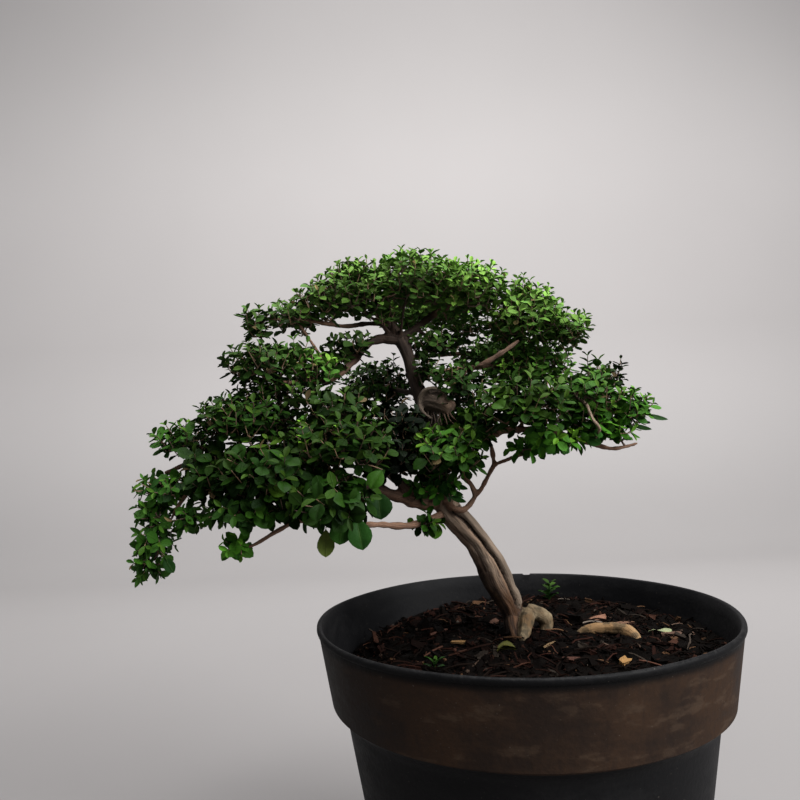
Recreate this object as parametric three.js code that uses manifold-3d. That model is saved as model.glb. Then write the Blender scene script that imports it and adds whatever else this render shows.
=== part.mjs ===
// Premna bonsai in a round nursery pot.
// Millimetres, +Z up, centre of the pot's flat base at the origin, seen from the front along +Y.
import * as THREE from 'three';
import { mergeVertices } from 'three/addons/utils/BufferGeometryUtils.js';
import Module from 'manifold-3d';

const wasm = await Module();
wasm.setup();

// Pot: a thin plastic cone with a deeper collar, after a common 25 cm nursery pot
const POT_HEIGHT = 200;
const RIM_RADIUS = 125;
const WALL_TAPER = 0.17;
const COLLAR_DEPTH = 44;
const STEP_DEPTH = 10;
const STEP_IN = 6.8;
const WALL = 2.6;
const LIP_ROUND = 0.9;
const BASE_THICKNESS = 3;
const POT_SIDES = 36;
const DRAIN_HOLES = 6;
const DRAIN_RADIUS = 6;
const DRAIN_RING = 60;
const NOTCH_WIDTH = 5;
const NOTCH_DEPTH = 3;
const NOTCH_ANGLE = 1.37;

// Clearance between pieces that touch
const GAP = 0.35;

// Soil: depth below the rim at the wall, by harmonics round the pot, and at the mound round the trunk
const SOIL_MEAN_DEPTH = 26.2;
const SOIL_SIDE_FALL = 9.5;
const SOIL_FRONT_FALL = 5;
const SOIL_OVAL = 3.2;
const SOIL_TWIST = 2;
const MOUND_DEPTH = 16.5;
const SOIL_RINGS = 5;
const CHIP_COUNT = 9;
const CHIP_LENGTH = [9, 24];
const CHIP_WIDTH = [4, 8];
const CHIP_HEIGHT = [3, 5];
const CHIP_REACH = 100;
// No chip within a radius of these places: the root fan, the arched root, and each small thing on the soil
const ROOT_ROOM = [[0, 12, 26], [50, 0, 24]];
const LITTER_ROOM = 15;

// Foliage: share of a pad that its knot of twigs spans, and the sizes of tufts and single leaves
const KNOT_SHARE = [0.72, 0.72, 0.55];
const KNOT_LEAST = 7;
const TUFT_RADIUS = [11.5, 14.5];
const TUFT_AREA = 1380;
const TIP_ANGLE = 0.29;
const STALK_RADIUS = 1.3;
const LEAF_LENGTH = [11, 16];
const LEAF_WIDTH = 0.6;
const LEAF_AREA = 2000;
const BLADE_HALF = 0.8;
const SUNK = 2.2;
const POSES_TRIED = 7;

// Trunk: each row is x, y, z and radius, from the root crown in the soil up to the head
const TRUNK = [
  [6, 22, 128, 7], [5, 22, 160, 10], [2, 20, 182, 9.6], [-3.4, 17, 200, 8.8], [-8.2, 15, 211, 8.6],
  [-13, 12, 221, 8.6], [-19, 9, 233, 8.4], [-26, 6, 245, 8.4], [-36, 3, 259, 8.4], [-43, 2, 269.5, 7.8],
  [-46.5, 2, 285, 7.2], [-48, 3, 301, 6.6], [-50, 5, 317, 6.4], [-54, 8, 333, 5.4], [-59, 12, 350, 4.6],
  [-61.5, 14, 363, 4.4], [-66, 15, 374, 4.6], [-73.5, 15, 384, 4.4], [-76, 14, 395, 3.2],
];

// The second strand, a strip of live wood up the trunk's right side that ends above the root
const STRIP = [
  [6.5, 14.5, 199, 3.2], [2, 12.5, 211, 4.2], [-6, 9, 227, 4.4], [-15, 5.5, 242, 4.3], [-26, 1.5, 256, 4.2],
  [-35.5, -1.5, 266, 3.6],
];

// Limbs and twigs: x, y, z by hand along each one, with the radius at its two ends
const LIMBS = {
  low_left: { ends: [4.6, 1.3], route: [[-43, 3, 268], [-56, -3, 269], [-71, -11, 274], [-87, -20, 280],
    [-105, -28, 288], [-127, -34, 297], [-149, -34, 303], [-171, -31, 304], [-191, -28, 301],
    [-208, -26, 295]] },
  far_left: { ends: [1.7, 1], route: [[-171, -31, 304], [-186, -28, 309], [-202, -25, 312]] },
  low_left_rise: { ends: [3, 1.2], route: [[-56, -3, 269], [-68, -12, 280], [-78, -20, 289], [-98, -34, 307],
    [-114, -34, 316], [-131, -32, 321], [-155, -30, 326]] },
  left_droop: { ends: [1.6, 1], route: [[-171, -31, 304], [-184, -38, 292], [-195, -43, 277],
    [-206, -46, 256]] },
  under_left: { ends: [1.6, 1], route: [[-127, -34, 297], [-140, -41, 286], [-153, -45, 276],
    [-166, -46, 269]] },
  front_twig: { ends: [2.3, 1], route: [[-43, 0, 262], [-53, -8, 259], [-67, -18, 257], [-80, -28, 259],
    [-93, -36, 261], [-108, -42, 261], [-126, -46, 264], [-139, -48, 259], [-153, -49, 252],
    [-161, -49, 252]] },
  front_fork: { ends: [1.4, 1], route: [[-93, -36, 261], [-98, -48, 268], [-103, -58, 276]] },
  bow: { ends: [3.4, 1.3], route: [[-66, 15, 375], [-76, 10, 377], [-85, 3, 373], [-94, -5, 363],
    [-100, -12, 353], [-112, -19, 346], [-127, -26, 345], [-140, -30, 345], [-149, -32, 351],
    [-152, -33, 360]] },
  head_left: { ends: [2.4, 1.1], route: [[-74, 15, 385], [-88, 8, 384], [-101, 1, 382], [-114, -8, 383],
    [-129, -16, 384], [-145, -22, 384], [-152, -25, 381]] },
  slant: { ends: [1.3, 1], route: [[-108, -17, 347], [-115, -16, 361], [-122, -16, 373], [-129, -16, 384]] },
  inner: { ends: [1.3, 1], route: [[-96, -7, 359], [-99, -6, 367]] },
  top_left: { ends: [2.6, 1.1], route: [[-76, 14, 393], [-83, 8, 401], [-95, 1, 406], [-110, -7, 403],
    [-124, -13, 397]] },
  top_mid: { ends: [2.6, 1.2], route: [[-76, 14, 393], [-70, 16, 403], [-58, 15, 411]] },
  top_right: { ends: [3.2, 1.1], route: [[-66, 15, 374], [-55, 22, 382], [-42, 28, 392], [-26, 29, 400],
    [-8, 26, 400], [8, 20, 394], [24, 13, 386], [40, 4, 377]] },
  inner_right: { ends: [1.6, 1], route: [[-55, 22, 382], [-49, 23, 377], [-43, 22, 373]] },
  back_top: { ends: [2.3, 1.1], route: [[-74, 15, 386], [-76, 38, 398], [-66, 56, 406], [-46, 69, 408]] },
  mid_right: { ends: [2.6, 1.1], route: [[-61, 12, 352], [-48, 12, 351], [-32, 16, 352], [-12, 20, 354],
    [6, 24, 356], [24, 26, 358]] },
  mid_front: { ends: [1.6, 1], route: [[-48, 12, 351], [-40, 4, 347], [-31, -3, 343]] },
  back_right: { ends: [2.2, 1.1], route: [[-61, 14, 361], [-46, 36, 365], [-24, 54, 368], [4, 60, 369]] },
  back_mid: { ends: [2.3, 1.1], route: [[-54, 8, 336], [-62, 26, 340], [-72, 45, 344], [-80, 58, 348]] },
  right_low: { ends: [2.9, 1], route: [[-48, 3, 304], [-39, -8, 306], [-26, -17, 307], [-13, -24, 308],
    [2, -29, 307], [18, -31, 306], [36, -30, 304], [54, -28, 303], [70, -26, 299]] },
  right_rise: { ends: [1.9, 1], route: [[-13, -24, 308], [-4, -34, 318], [8, -40, 326], [24, -34, 329],
    [44, -26, 329], [60, -22, 324], [72, -21, 320]] },
  right_shoot: { ends: [1.3, 1], route: [[44, -26, 329], [51, -18, 337], [56, -12, 345]] },
  thin_right: { ends: [2, 1], route: [[-41, 2, 264], [-35, 0, 261], [-28, -2, 262], [-23, -4, 269],
    [-19, -7, 279], [-13, -10, 291], [-7, -13, 294], [2, -19, 299], [12, -27, 303]] },
  thin_up: { ends: [1.2, 0.9], route: [[-13, -10, 290], [-14, -12, 298], [-22, -18, 304], [-32, -24, 307]] },
  thin_left: { ends: [1.4, 0.9], route: [[-24, -4, 268], [-28, -6, 276], [-33, -8, 282], [-40, -9, 286]] },
  back_low: { ends: [3, 1.2], route: [[-47, 3, 293], [-44, 28, 302], [-42, 52, 312], [-34, 72, 320]] },
  back_low_left: { ends: [2.6, 1.2], route: [[-47, 3, 293], [-64, 24, 302], [-88, 38, 308],
    [-118, 44, 311]] },
};

// The old pruning cut on the trunk's right side, a short stub with a curled callus lip
const STUB = [[-52, 6, 322, 4.6], [-46, 0, 327, 5], [-39, -5, 330, 4.6]];
const CALLUS_CENTRE = [-40, -7, 330];
const CALLUS_RADIUS = 5.4;
const CALLUS_THICK = 1.7;

// Roots: the front leg, the right leg, and its arched run over the soil
const ROOTS = [
  [[3, 14, 202, 4], [6, 11, 194, 4.2], [3, 3, 184, 3.6], [0, -3, 172, 3]],
  [[3, 18, 205, 5], [12, 20, 199, 5.4], [19, 18, 192, 5.2], [22, 13, 184, 5], [29, 9, 178, 4.2],
    [37, 5, 181.5, 3.8], [45, 2, 186, 3.6], [53, 0, 187, 3.5], [61, -4, 185, 3.6], [68, -11, 177, 3.2],
    [72, -18, 168, 2.4]],
  [[4, 24, 186, 5], [-6, 34, 178, 4], [-14, 44, 164, 3]],
  [[2, 20, 180, 5], [-14, 14, 168, 4], [-28, 8, 152, 3]],
];

// Pads of foliage: centre and half sizes of each, in depth too
const PADS = {
  crown_left: [[-127, -14, 395], [26, 30, 13]],
  crown_rise: [[-96, -1, 405], [28, 33, 17]],
  crown_top: [[-59, 12, 409], [30, 36, 19]],
  crown_high: [[-20, 22, 403], [31, 36, 21]],
  crown_shoulder: [[18, 14, 385], [30, 36, 20]],
  crown_edge: [[44, 1, 373], [18, 24, 14]],
  crown_back: [[-44, 72, 404], [42, 26, 18]],
  left_top: [[-152, -25, 382], [10, 12, 10]],
  left_mid: [[-149, -33, 359], [27, 28, 15]],
  left_run: [[-120, -24, 353], [19, 16, 10]],
  left_inner: [[-100, -5, 366], [17, 18, 10]],
  mid_back: [[-80, 58, 348], [28, 26, 15]],
  mid_inner: [[-43, 22, 373], [21, 20, 9]],
  mid_front: [[-30, -5, 342], [20, 20, 13]],
  mid_right: [[22, 24, 355], [36, 26, 17]],
  back_upper: [[4, 62, 368], [34, 24, 14]],
  right_front: [[3, -41, 326], [29, 25, 18]],
  right_mid: [[42, -26, 328], [23, 26, 17]],
  right_shoot: [[57, -12, 345], [12, 14, 12]],
  right_tip: [[72, -21, 319], [17, 21, 11]],
  right_under: [[14, -30, 301], [26, 22, 10]],
  right_tail: [[56, -28, 302], [16, 17, 7]],
  centre_right: [[-38, -26, 308], [27, 27, 18]],
  centre_deep: [[-72, -10, 302], [25, 28, 20]],
  centre_front: [[-99, -50, 309], [31, 28, 20]],
  low_front: [[-103, -60, 276], [27, 24, 17]],
  deep_low: [[-42, -9, 286], [13, 13, 9]],
  left_front: [[-143, -46, 295], [31, 32, 22]],
  left_high: [[-157, -30, 327], [32, 34, 16]],
  left_far: [[-200, -25, 312], [21, 26, 13]],
  left_tail: [[-206, -37, 284], [20, 24, 15]],
  left_drop: [[-212, -46, 255], [14, 14, 20]],
  left_under: [[-166, -46, 269], [24, 22, 12]],
  front_tip: [[-162, -49, 252], [12, 12, 8]],
  front_knot: [[-57, -12, 258], [12, 12, 8]],
  back_left: [[-118, 44, 312], [42, 32, 19]],
  back_right: [[-33, 73, 322], [38, 27, 19]],
};

// Small plants and litter on the soil: place on the soil, then size
const WEED = { place: [38, 98], height: 19, leaf: 9 };
const SPROUT = { place: [-56, -30], height: 5, leaf: 7 };
const FALLEN_LEAF = { place: [-13, -18], length: 14, width: 9, turn: 0.5 };
const PALE_LEAF = { place: [84, 4], length: 20, width: 6, turn: -0.15 };
const LITTER_LIFT = 0.6;

const COLOURS = {
  pot: new THREE.MeshStandardMaterial({ color: 0x2a2a2b, roughness: 0.55, metalness: 0 }),
  soil: new THREE.MeshStandardMaterial({ color: 0x2e2019, roughness: 0.95, metalness: 0 }),
  wood: new THREE.MeshStandardMaterial({ color: 0x8a7158, roughness: 0.85, metalness: 0 }),
  leaf: new THREE.MeshStandardMaterial({ color: 0x2f6420, roughness: 0.5, metalness: 0 }),
  dry: new THREE.MeshStandardMaterial({ color: 0xa9a455, roughness: 0.7, metalness: 0 }),
};

function seeded(seed) {
  let state = seed >>> 0;
  return () => {
    state = (state + 0x6d2b79f5) >>> 0;
    let mixed = Math.imul(state ^ (state >>> 15), 1 | state);
    mixed = (mixed + Math.imul(mixed ^ (mixed >>> 7), 61 | mixed)) ^ mixed;
    return ((mixed ^ (mixed >>> 14)) >>> 0) / 4294967296;
  };
}

function between(random, [low, high]) {
  return low + (high - low) * random();
}

function solidOf(geometry) {
  const plain = new THREE.BufferGeometry();
  plain.setAttribute('position', geometry.getAttribute('position'));
  plain.setIndex(geometry.getIndex());
  const merged = mergeVertices(plain, 1e-4);
  const place = merged.getAttribute('position').array;
  const corners = merged.getIndex().array;
  const faces = [];
  let volume = 0;
  const [a, b, c] = [new THREE.Vector3(), new THREE.Vector3(), new THREE.Vector3()];
  for (let i = 0; i < corners.length; i += 3) {
    const [p, q, r] = corners.slice(i, i + 3);
    if (p === q || q === r || r === p) continue;
    faces.push([p, q, r]);
    a.fromArray(place, 3 * p);
    b.fromArray(place, 3 * q);
    c.fromArray(place, 3 * r);
    volume += a.dot(b.cross(c));
  }
  const outward = volume > 0 ? faces : faces.map(([p, q, r]) => [p, r, q]);
  return new wasm.Manifold(new wasm.Mesh({
    numProp: 3, vertProperties: new Float32Array(place), triVerts: new Uint32Array(outward.flat()),
  }));
}

function joined(solids) {
  return solids.reduce((whole, solid) => whole.add(solid));
}

function largestBody(solid) {
  const bodies = solid.decompose();
  return bodies.reduce((best, body) => (body.volume() > best.volume() ? body : best));
}

function meshOf(name, solid, material) {
  const { vertProperties, triVerts } = solid.getMesh();
  const geometry = new THREE.BufferGeometry();
  geometry.setAttribute('position', new THREE.BufferAttribute(vertProperties, 3));
  geometry.setIndex(new THREE.BufferAttribute(triVerts, 1));
  geometry.computeVertexNormals();
  const mesh = new THREE.Mesh(geometry, material);
  mesh.name = name;
  return mesh;
}

// A closed solid turned about the Z axis from [radius, height] pairs
function turned(profile) {
  const points = profile.map(([radius, height]) => new THREE.Vector2(radius, height));
  return new THREE.LatheGeometry(points, POT_SIDES).rotateX(Math.PI / 2);
}

function ringShape(sides) {
  const corners = [];
  for (let i = 0; i < sides; i += 1) {
    const angle = (2 * Math.PI * i) / sides;
    corners.push(new THREE.Vector2(Math.cos(angle), Math.sin(angle)));
  }
  return new THREE.Shape(corners);
}

// A tapering round limb along a smooth curve through rows of x, y, z and radius
function limb(rows, sides, spacing, grow) {
  const points = rows.map(([x, y, z]) => new THREE.Vector3(x, y, z));
  const curve = new THREE.CatmullRomCurve3(points, false, 'centripetal');
  const steps = Math.max(2, Math.round(curve.getLength() / spacing));
  const settings = { steps, bevelEnabled: false, extrudePath: curve };
  const geometry = new THREE.ExtrudeGeometry(ringShape(sides), settings);
  const centres = curve.getSpacedPoints(steps);
  const radii = centres.map((_, step) => {
    const along = curve.getUtoTmapping(step / steps) * (rows.length - 1);
    const row = Math.min(rows.length - 2, Math.floor(along));
    return THREE.MathUtils.lerp(rows[row][3], rows[row + 1][3], along - row) + grow;
  });
  const place = geometry.getAttribute('position');
  const vertex = new THREE.Vector3();
  for (let i = 0; i < place.count; i += 1) {
    vertex.fromBufferAttribute(place, i);
    let step = 0;
    for (let k = 1; k <= steps; k += 1) {
      if (centres[k].distanceToSquared(vertex) < centres[step].distanceToSquared(vertex)) step = k;
    }
    vertex.sub(centres[step]).multiplyScalar(radii[step]).add(centres[step]);
    if (step === 0) vertex.addScaledVector(curve.getTangentAt(0), -grow);
    if (step === steps) vertex.addScaledVector(curve.getTangentAt(1), grow);
    place.setXYZ(i, vertex.x, vertex.y, vertex.z);
  }
  return solidOf(geometry);
}

function taperedRows({ ends, route }) {
  const last = route.length - 1;
  return route.map((point, i) => [...point, THREE.MathUtils.lerp(ends[0], ends[1], i / last)]);
}

// The whole grown wood as one solid, with every surface moved out by grow
function treeWood(grow) {
  const trunk = limb(TRUNK, 8, 11, grow);
  const strip = limb(STRIP, 6, 12, grow);
  const stub = limb(STUB, 6, 6, grow);
  const callus = new THREE.TorusGeometry(CALLUS_RADIUS, CALLUS_THICK + grow, 4, 7);
  callus.rotateY(1.1);
  callus.translate(...CALLUS_CENTRE);
  const limbs = Object.values(LIMBS).map((one) => limb(taperedRows(one), one.ends[0] > 3 ? 5 : 4, 16, grow));
  const roots = ROOTS.map((rows) => limb(rows, 6, 8, grow));
  return largestBody(joined([trunk, strip, stub, solidOf(callus), ...limbs, ...roots]));
}

function outerRadius(height) {
  const depth = POT_HEIGHT - height;
  const step = THREE.MathUtils.clamp((depth - COLLAR_DEPTH) / STEP_DEPTH, 0, 1);
  return RIM_RADIUS - WALL_TAPER * depth - STEP_IN * Math.sin((step * Math.PI) / 2);
}

// Heights where the wall bends, from the base up to the bottom of the collar
function bends() {
  const low = POT_HEIGHT - COLLAR_DEPTH - STEP_DEPTH;
  return [0, 1, 2, 3].map((step) => low + (STEP_DEPTH * step) / 3);
}

function pot() {
  const outer = [0, ...bends(), POT_HEIGHT - LIP_ROUND].map((z) => [outerRadius(z), z]);
  const lip = [LIP_ROUND, WALL].map((inset) => [RIM_RADIUS - inset, POT_HEIGHT]);
  const inner = [...bends().reverse(), BASE_THICKNESS].map((z) => [outerRadius(z) - WALL, z]);
  let solid = solidOf(turned([[0, 0], ...outer, ...lip, ...inner, [0, BASE_THICKNESS]]));
  for (let i = 0; i < DRAIN_HOLES; i += 1) {
    const angle = (2 * Math.PI * (i + 0.5)) / DRAIN_HOLES;
    const hole = new THREE.CylinderGeometry(DRAIN_RADIUS, DRAIN_RADIUS, 4 * BASE_THICKNESS, 8);
    hole.rotateX(Math.PI / 2);
    hole.translate(DRAIN_RING * Math.cos(angle), DRAIN_RING * Math.sin(angle), BASE_THICKNESS / 2);
    solid = solid.subtract(solidOf(hole));
  }
  const notch = new THREE.BoxGeometry(6 * WALL, NOTCH_WIDTH, 2 * NOTCH_DEPTH);
  notch.translate(RIM_RADIUS, 0, POT_HEIGHT);
  notch.rotateZ(NOTCH_ANGLE);
  return solid.subtract(solidOf(notch));
}

function soilHeight(x, y) {
  const angle = Math.atan2(y, x);
  const share = Math.min(1, (x * x + y * y) / (RIM_RADIUS * RIM_RADIUS));
  const sides = SOIL_SIDE_FALL * Math.cos(angle) + SOIL_FRONT_FALL * Math.sin(angle);
  const oval = SOIL_OVAL * Math.cos(2 * angle) + SOIL_TWIST * Math.sin(2 * angle);
  const depth = THREE.MathUtils.lerp(MOUND_DEPTH, SOIL_MEAN_DEPTH - sides + oval, share);
  const lumps = Math.sin(x * 0.19 + 1) * Math.cos(y * 0.17) + 0.6 * Math.sin(x * 0.07 - y * 0.31);
  return POT_HEIGHT - depth + lumps;
}

function soilRadius(height) {
  return outerRadius(height) - WALL - GAP;
}

function bareSoil() {
  const floor = BASE_THICKNESS + GAP;
  const wall = [floor, ...bends()].map((z) => [soilRadius(z), z]);
  const top = [];
  for (let ring = SOIL_RINGS; ring >= 0; ring -= 1) {
    top.push([(soilRadius(POT_HEIGHT) * ring) / SOIL_RINGS, POT_HEIGHT]);
  }
  const geometry = turned([[0, floor], ...wall, ...top]);
  const place = geometry.getAttribute('position');
  for (let i = 0; i < place.count; i += 1) {
    if (place.getZ(i) < POT_HEIGHT - 0.01) continue;
    const [x, y] = [place.getX(i), place.getY(i)];
    const height = soilHeight(x, y);
    const reach = Math.hypot(x, y);
    const scale = reach > soilRadius(POT_HEIGHT) - 1 ? soilRadius(height) / reach : 1;
    place.setXYZ(i, x * scale, y * scale, height);
  }
  return solidOf(geometry);
}

// Bark chips lie half sunk in the soil, clear of the wall and of what stands or lies there
function chips() {
  const random = seeded(41);
  const litter = [WEED, SPROUT, FALLEN_LEAF, PALE_LEAF].map(({ place }) => [...place, LITTER_ROOM]);
  const kept = [...ROOT_ROOM, ...litter];
  const list = [];
  while (list.length < CHIP_COUNT) {
    const angle = 2 * Math.PI * random();
    const reach = CHIP_REACH * Math.sqrt(random());
    const [x, y] = [reach * Math.cos(angle), reach * Math.sin(angle)];
    const size = [between(random, CHIP_LENGTH), between(random, CHIP_WIDTH), between(random, CHIP_HEIGHT)];
    const tilt = [0.7 * (random() - 0.5), 0.7 * (random() - 0.5), Math.PI * random()];
    if (kept.some(([u, v, room]) => Math.hypot(x - u, y - v) < room)) continue;
    const chip = new THREE.BoxGeometry(...size);
    chip.applyMatrix4(new THREE.Matrix4().makeRotationFromEuler(new THREE.Euler(...tilt)));
    chip.translate(x, y, soilHeight(x, y));
    list.push(solidOf(chip));
  }
  return list;
}

function soil(fatWood, prints) {
  return largestBody(joined([bareSoil(), ...chips()]).subtract(fatWood).subtract(joined(prints)));
}

// A thin blade between an outline and an apex on each face
function blade(outline, over, under) {
  const count = outline.length;
  const faces = [];
  for (let i = 0; i < count; i += 1) {
    const next = (i + 1) % count;
    faces.push(count, i, next, count + 1, next, i);
  }
  return indexed([...outline, over, under], faces);
}

function indexed(points, faces) {
  const corners = new Float32Array(points.flatMap((point) => point.toArray()));
  const geometry = new THREE.BufferGeometry();
  geometry.setAttribute('position', new THREE.BufferAttribute(corners, 3));
  geometry.setIndex(faces);
  return geometry;
}

// One leaf along +X from the origin, its faces up and down
function leafGeometry(length, width, grow = 0) {
  const half = width / 2 + grow;
  const arch = 0.08 * length;
  const outline = [
    [-grow, 0, 0], [0.32 * length, -0.86 * half, arch], [0.74 * length, -half, arch], [length + grow, 0, 0],
    [0.74 * length, half, arch], [0.32 * length, 0.86 * half, arch],
  ].map((point) => new THREE.Vector3(...point));
  const middle = 0.55 * length;
  const over = new THREE.Vector3(middle, 0, arch + BLADE_HALF + grow);
  const under = new THREE.Vector3(middle, 0, arch - BLADE_HALF - grow);
  return blade(outline, over, under);
}

// Two pairs of leaves round the top of a thin stalk: tips in the XY plane, foot below the origin
function tuftGeometry(radius, depth, grow = 0) {
  const points = [];
  const eye = -0.22 * radius;
  for (let leaf = 0; leaf < 4; leaf += 1) {
    const reach = (leaf % 2 ? 0.84 : 1) * radius + grow;
    const middle = (leaf * Math.PI) / 2;
    points.push(turnedPoint(0.27 * radius + grow, middle - Math.PI / 4, eye));
    points.push(turnedPoint(reach, middle - TIP_ANGLE, 0));
    points.push(turnedPoint(reach, middle + TIP_ANGLE, 0));
  }
  for (let leaf = 0; leaf < 4; leaf += 1) {
    points.push(turnedPoint(STALK_RADIUS + grow, ((leaf - 0.5) * Math.PI) / 2, eye - 2 * BLADE_HALF - grow));
  }
  points.push(new THREE.Vector3(0, 0, eye + grow));
  points.push(new THREE.Vector3(0, 0, -depth - grow));
  const [stalk, over, under] = [12, 16, 17];
  const faces = [];
  for (let leaf = 0; leaf < 4; leaf += 1) {
    const next = (leaf + 1) % 4;
    const [notch, left, right, nextNotch] = [3 * leaf, 3 * leaf + 1, 3 * leaf + 2, 3 * next];
    faces.push(over, notch, left, over, left, right, over, right, nextNotch);
    faces.push(left, notch, stalk + leaf, right, left, stalk + leaf);
    faces.push(right, stalk + leaf, stalk + next, nextNotch, right, stalk + next);
    faces.push(stalk + next, stalk + leaf, under);
  }
  return indexed(points, faces);
}

function turnedPoint(reach, angle, height) {
  return new THREE.Vector3(reach * Math.cos(angle), reach * Math.sin(angle), height);
}

// Turns a geometry so that its X or Z axis points along a direction, with a spin about that axis
function aimed(geometry, axis, direction, spin, origin) {
  const turn = new THREE.Quaternion().setFromUnitVectors(axis, direction);
  turn.multiply(new THREE.Quaternion().setFromAxisAngle(axis, spin));
  geometry.applyQuaternion(turn);
  geometry.translate(origin.x, origin.y, origin.z);
  return geometry;
}

const UP = new THREE.Vector3(0, 0, 1);
const AHEAD = new THREE.Vector3(1, 0, 0);

// The knot of twigs inside a pad: eight faces that meet in six points
function knotSolid({ centre, radii, turn }, grow) {
  const geometry = new THREE.OctahedronGeometry(1, 0);
  geometry.rotateZ(turn);
  geometry.scale(...radii.map((radius) => radius + 1.8 * grow));
  geometry.translate(...centre);
  return solidOf(geometry);
}

// The point of the knot's surface in a direction of the pad's unit sphere
function onKnot({ centre, radii, turn }, direction) {
  const faced = direction.clone().applyAxisAngle(UP, -turn);
  const share = 1 / (Math.abs(faced.x) + Math.abs(faced.y) + Math.abs(faced.z));
  return onPad([centre, radii], direction.clone().multiplyScalar(share));
}

function padArea([a, b, c]) {
  const power = 1.6;
  const mean = ((a * b) ** power + (a * c) ** power + (b * c) ** power) / 3;
  return 4 * Math.PI * mean ** (1 / power);
}

// Directions spread evenly over a band of the sphere, from the height top down to the height foot
function directions(count, top, foot, phase) {
  const golden = Math.PI * (3 - Math.sqrt(5));
  const list = [];
  for (let i = 0; i < count; i += 1) {
    const height = top + ((foot - top) * (i + 0.5)) / count;
    list.push(turnedPoint(Math.sqrt(1 - height * height), phase + i * golden, height));
  }
  return list;
}

function onPad([centre, radii], direction) {
  return new THREE.Vector3(...centre).add(direction.clone().multiply(new THREE.Vector3(...radii)));
}

// A tuft stands on the knot with its tips out at the pad's edge
function tuftAt({ pad, knot }, direction, random, grow) {
  const foot = onKnot(knot, direction);
  const top = onPad(pad, direction);
  const axis = top.clone().sub(foot).normalize().addScaledVector(UP, 0.45);
  axis.add(new THREE.Vector3(random() - 0.5, random() - 0.5, 0).multiplyScalar(0.5)).normalize();
  const depth = Math.max(5, top.distanceTo(foot));
  const head = foot.addScaledVector(axis, depth);
  const geometry = tuftGeometry(between(random, TUFT_RADIUS), depth + SUNK, grow);
  return aimed(geometry, UP, axis, 2 * Math.PI * random(), head);
}

// A single leaf leaves the knot's flank, leaning out and a little down
function leafAt({ knot }, direction, random, grow) {
  const foot = onKnot(knot, direction);
  const side = new THREE.Vector3(direction.x, direction.y, 0.35 * direction.z).normalize();
  side.add(new THREE.Vector3(random() - 0.5, random() - 0.5, random() - 0.6).multiplyScalar(0.6)).normalize();
  const length = between(random, LEAF_LENGTH);
  const geometry = leafGeometry(length, LEAF_WIDTH * length, grow);
  foot.addScaledVector(side, -SUNK);
  return aimed(geometry, AHEAD, side, 1.2 * (random() - 0.5), foot);
}

// Every spray: knots first, then leaves that stay clear of the other sprays
function sprays(fatWood) {
  const list = Object.entries(PADS).map(([name, pad], index) => {
    const radii = pad[1].map((radius, i) => Math.max(KNOT_LEAST, KNOT_SHARE[i] * radius));
    const knot = { centre: pad[0], radii, turn: 0.9 * index };
    const fat = [{ box: boxOf(pad[0], pad[1]), solid: knotSolid(knot, GAP) }];
    return { name, pad, knot, fat, random: seeded(900 + 7 * index), solids: [knotSolid(knot, 0)] };
  });
  for (const [index, spray] of list.entries()) {
    for (const other of list.slice(0, index)) {
      spray.solids[0] = spray.solids[0].subtract(other.fat[0].solid);
    }
  }
  for (const spray of list) {
    const area = padArea(spray.pad[1]);
    const phase = 2 * Math.PI * spray.random();
    const tufts = directions(Math.max(3, Math.round(area / TUFT_AREA)), 0.97, -0.25, phase);
    const leaves = directions(Math.max(2, Math.round(area / LEAF_AREA)), 0.1, -0.75, phase + 1);
    for (const direction of tufts) addClear(list, spray, tuftAt, direction);
    for (const direction of leaves) addClear(list, spray, leafAt, direction);
  }
  return list.map(({ name, solids }) => {
    const solid = largestBody(joined(solids).subtract(fatWood));
    return meshOf(`leaf_${name}`, solid, COLOURS.leaf);
  });
}

function boxOf(centre, radii) {
  const [middle, reach] = [new THREE.Vector3(...centre), new THREE.Vector3(...radii)];
  return new THREE.Box3(middle.clone().sub(reach), middle.clone().add(reach));
}

// Adds a tuft or leaf in the first of a few poses that no other leaf or other spray's knot is in the way of
function addClear(list, spray, shape, direction) {
  for (let attempt = 0; attempt < POSES_TRIED; attempt += 1) {
    const seed = Math.floor(1e9 * spray.random());
    const wide = shape(spray, direction, seeded(seed), GAP);
    wide.computeBoundingBox();
    const box = wide.boundingBox;
    const solid = solidOf(wide);
    const blocked = list.some((other) => other.fat.some((one, i) => (
      (i > 0 || other !== spray) && one.box.intersectsBox(box) && !one.solid.intersect(solid).isEmpty()
    )));
    if (blocked) continue;
    spray.fat.push({ box, solid });
    spray.solids.push(solidOf(shape(spray, direction, seeded(seed), 0)));
    return;
  }
}

// A little plant: a stem in the soil with pairs of leaves up it
function littlePlant({ place: [x, y], height, leaf }, seed) {
  const random = seeded(seed);
  const ground = soilHeight(x, y);
  const solids = [plantStem({ place: [x, y], height }, 0)];
  const levels = Math.max(1, Math.round(height / 6));
  for (let level = 1; level <= levels; level += 1) {
    for (let side = 0; side < 2; side += 1) {
      const turn = side * Math.PI + (level % 2) * 1.4 + 0.4 * random();
      const rise = new THREE.Vector3(Math.cos(turn), Math.sin(turn), 0.35).normalize();
      const length = leaf * (1 - 0.12 * (level - 1));
      const foot = new THREE.Vector3(x, y, ground + (height * level) / levels - 1);
      solids.push(solidOf(aimed(leafGeometry(length, 0.55 * length), AHEAD, rise, 0, foot)));
    }
  }
  return largestBody(joined(solids));
}

function plantStem({ place: [x, y], height }, grow) {
  const ground = soilHeight(x, y);
  const foot = ground - 10 - grow;
  return limb([[x, y, foot, 1], [x + 0.4, y, ground, 1], [x, y, ground + height, 0.7]], 5, 6, grow);
}

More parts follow.
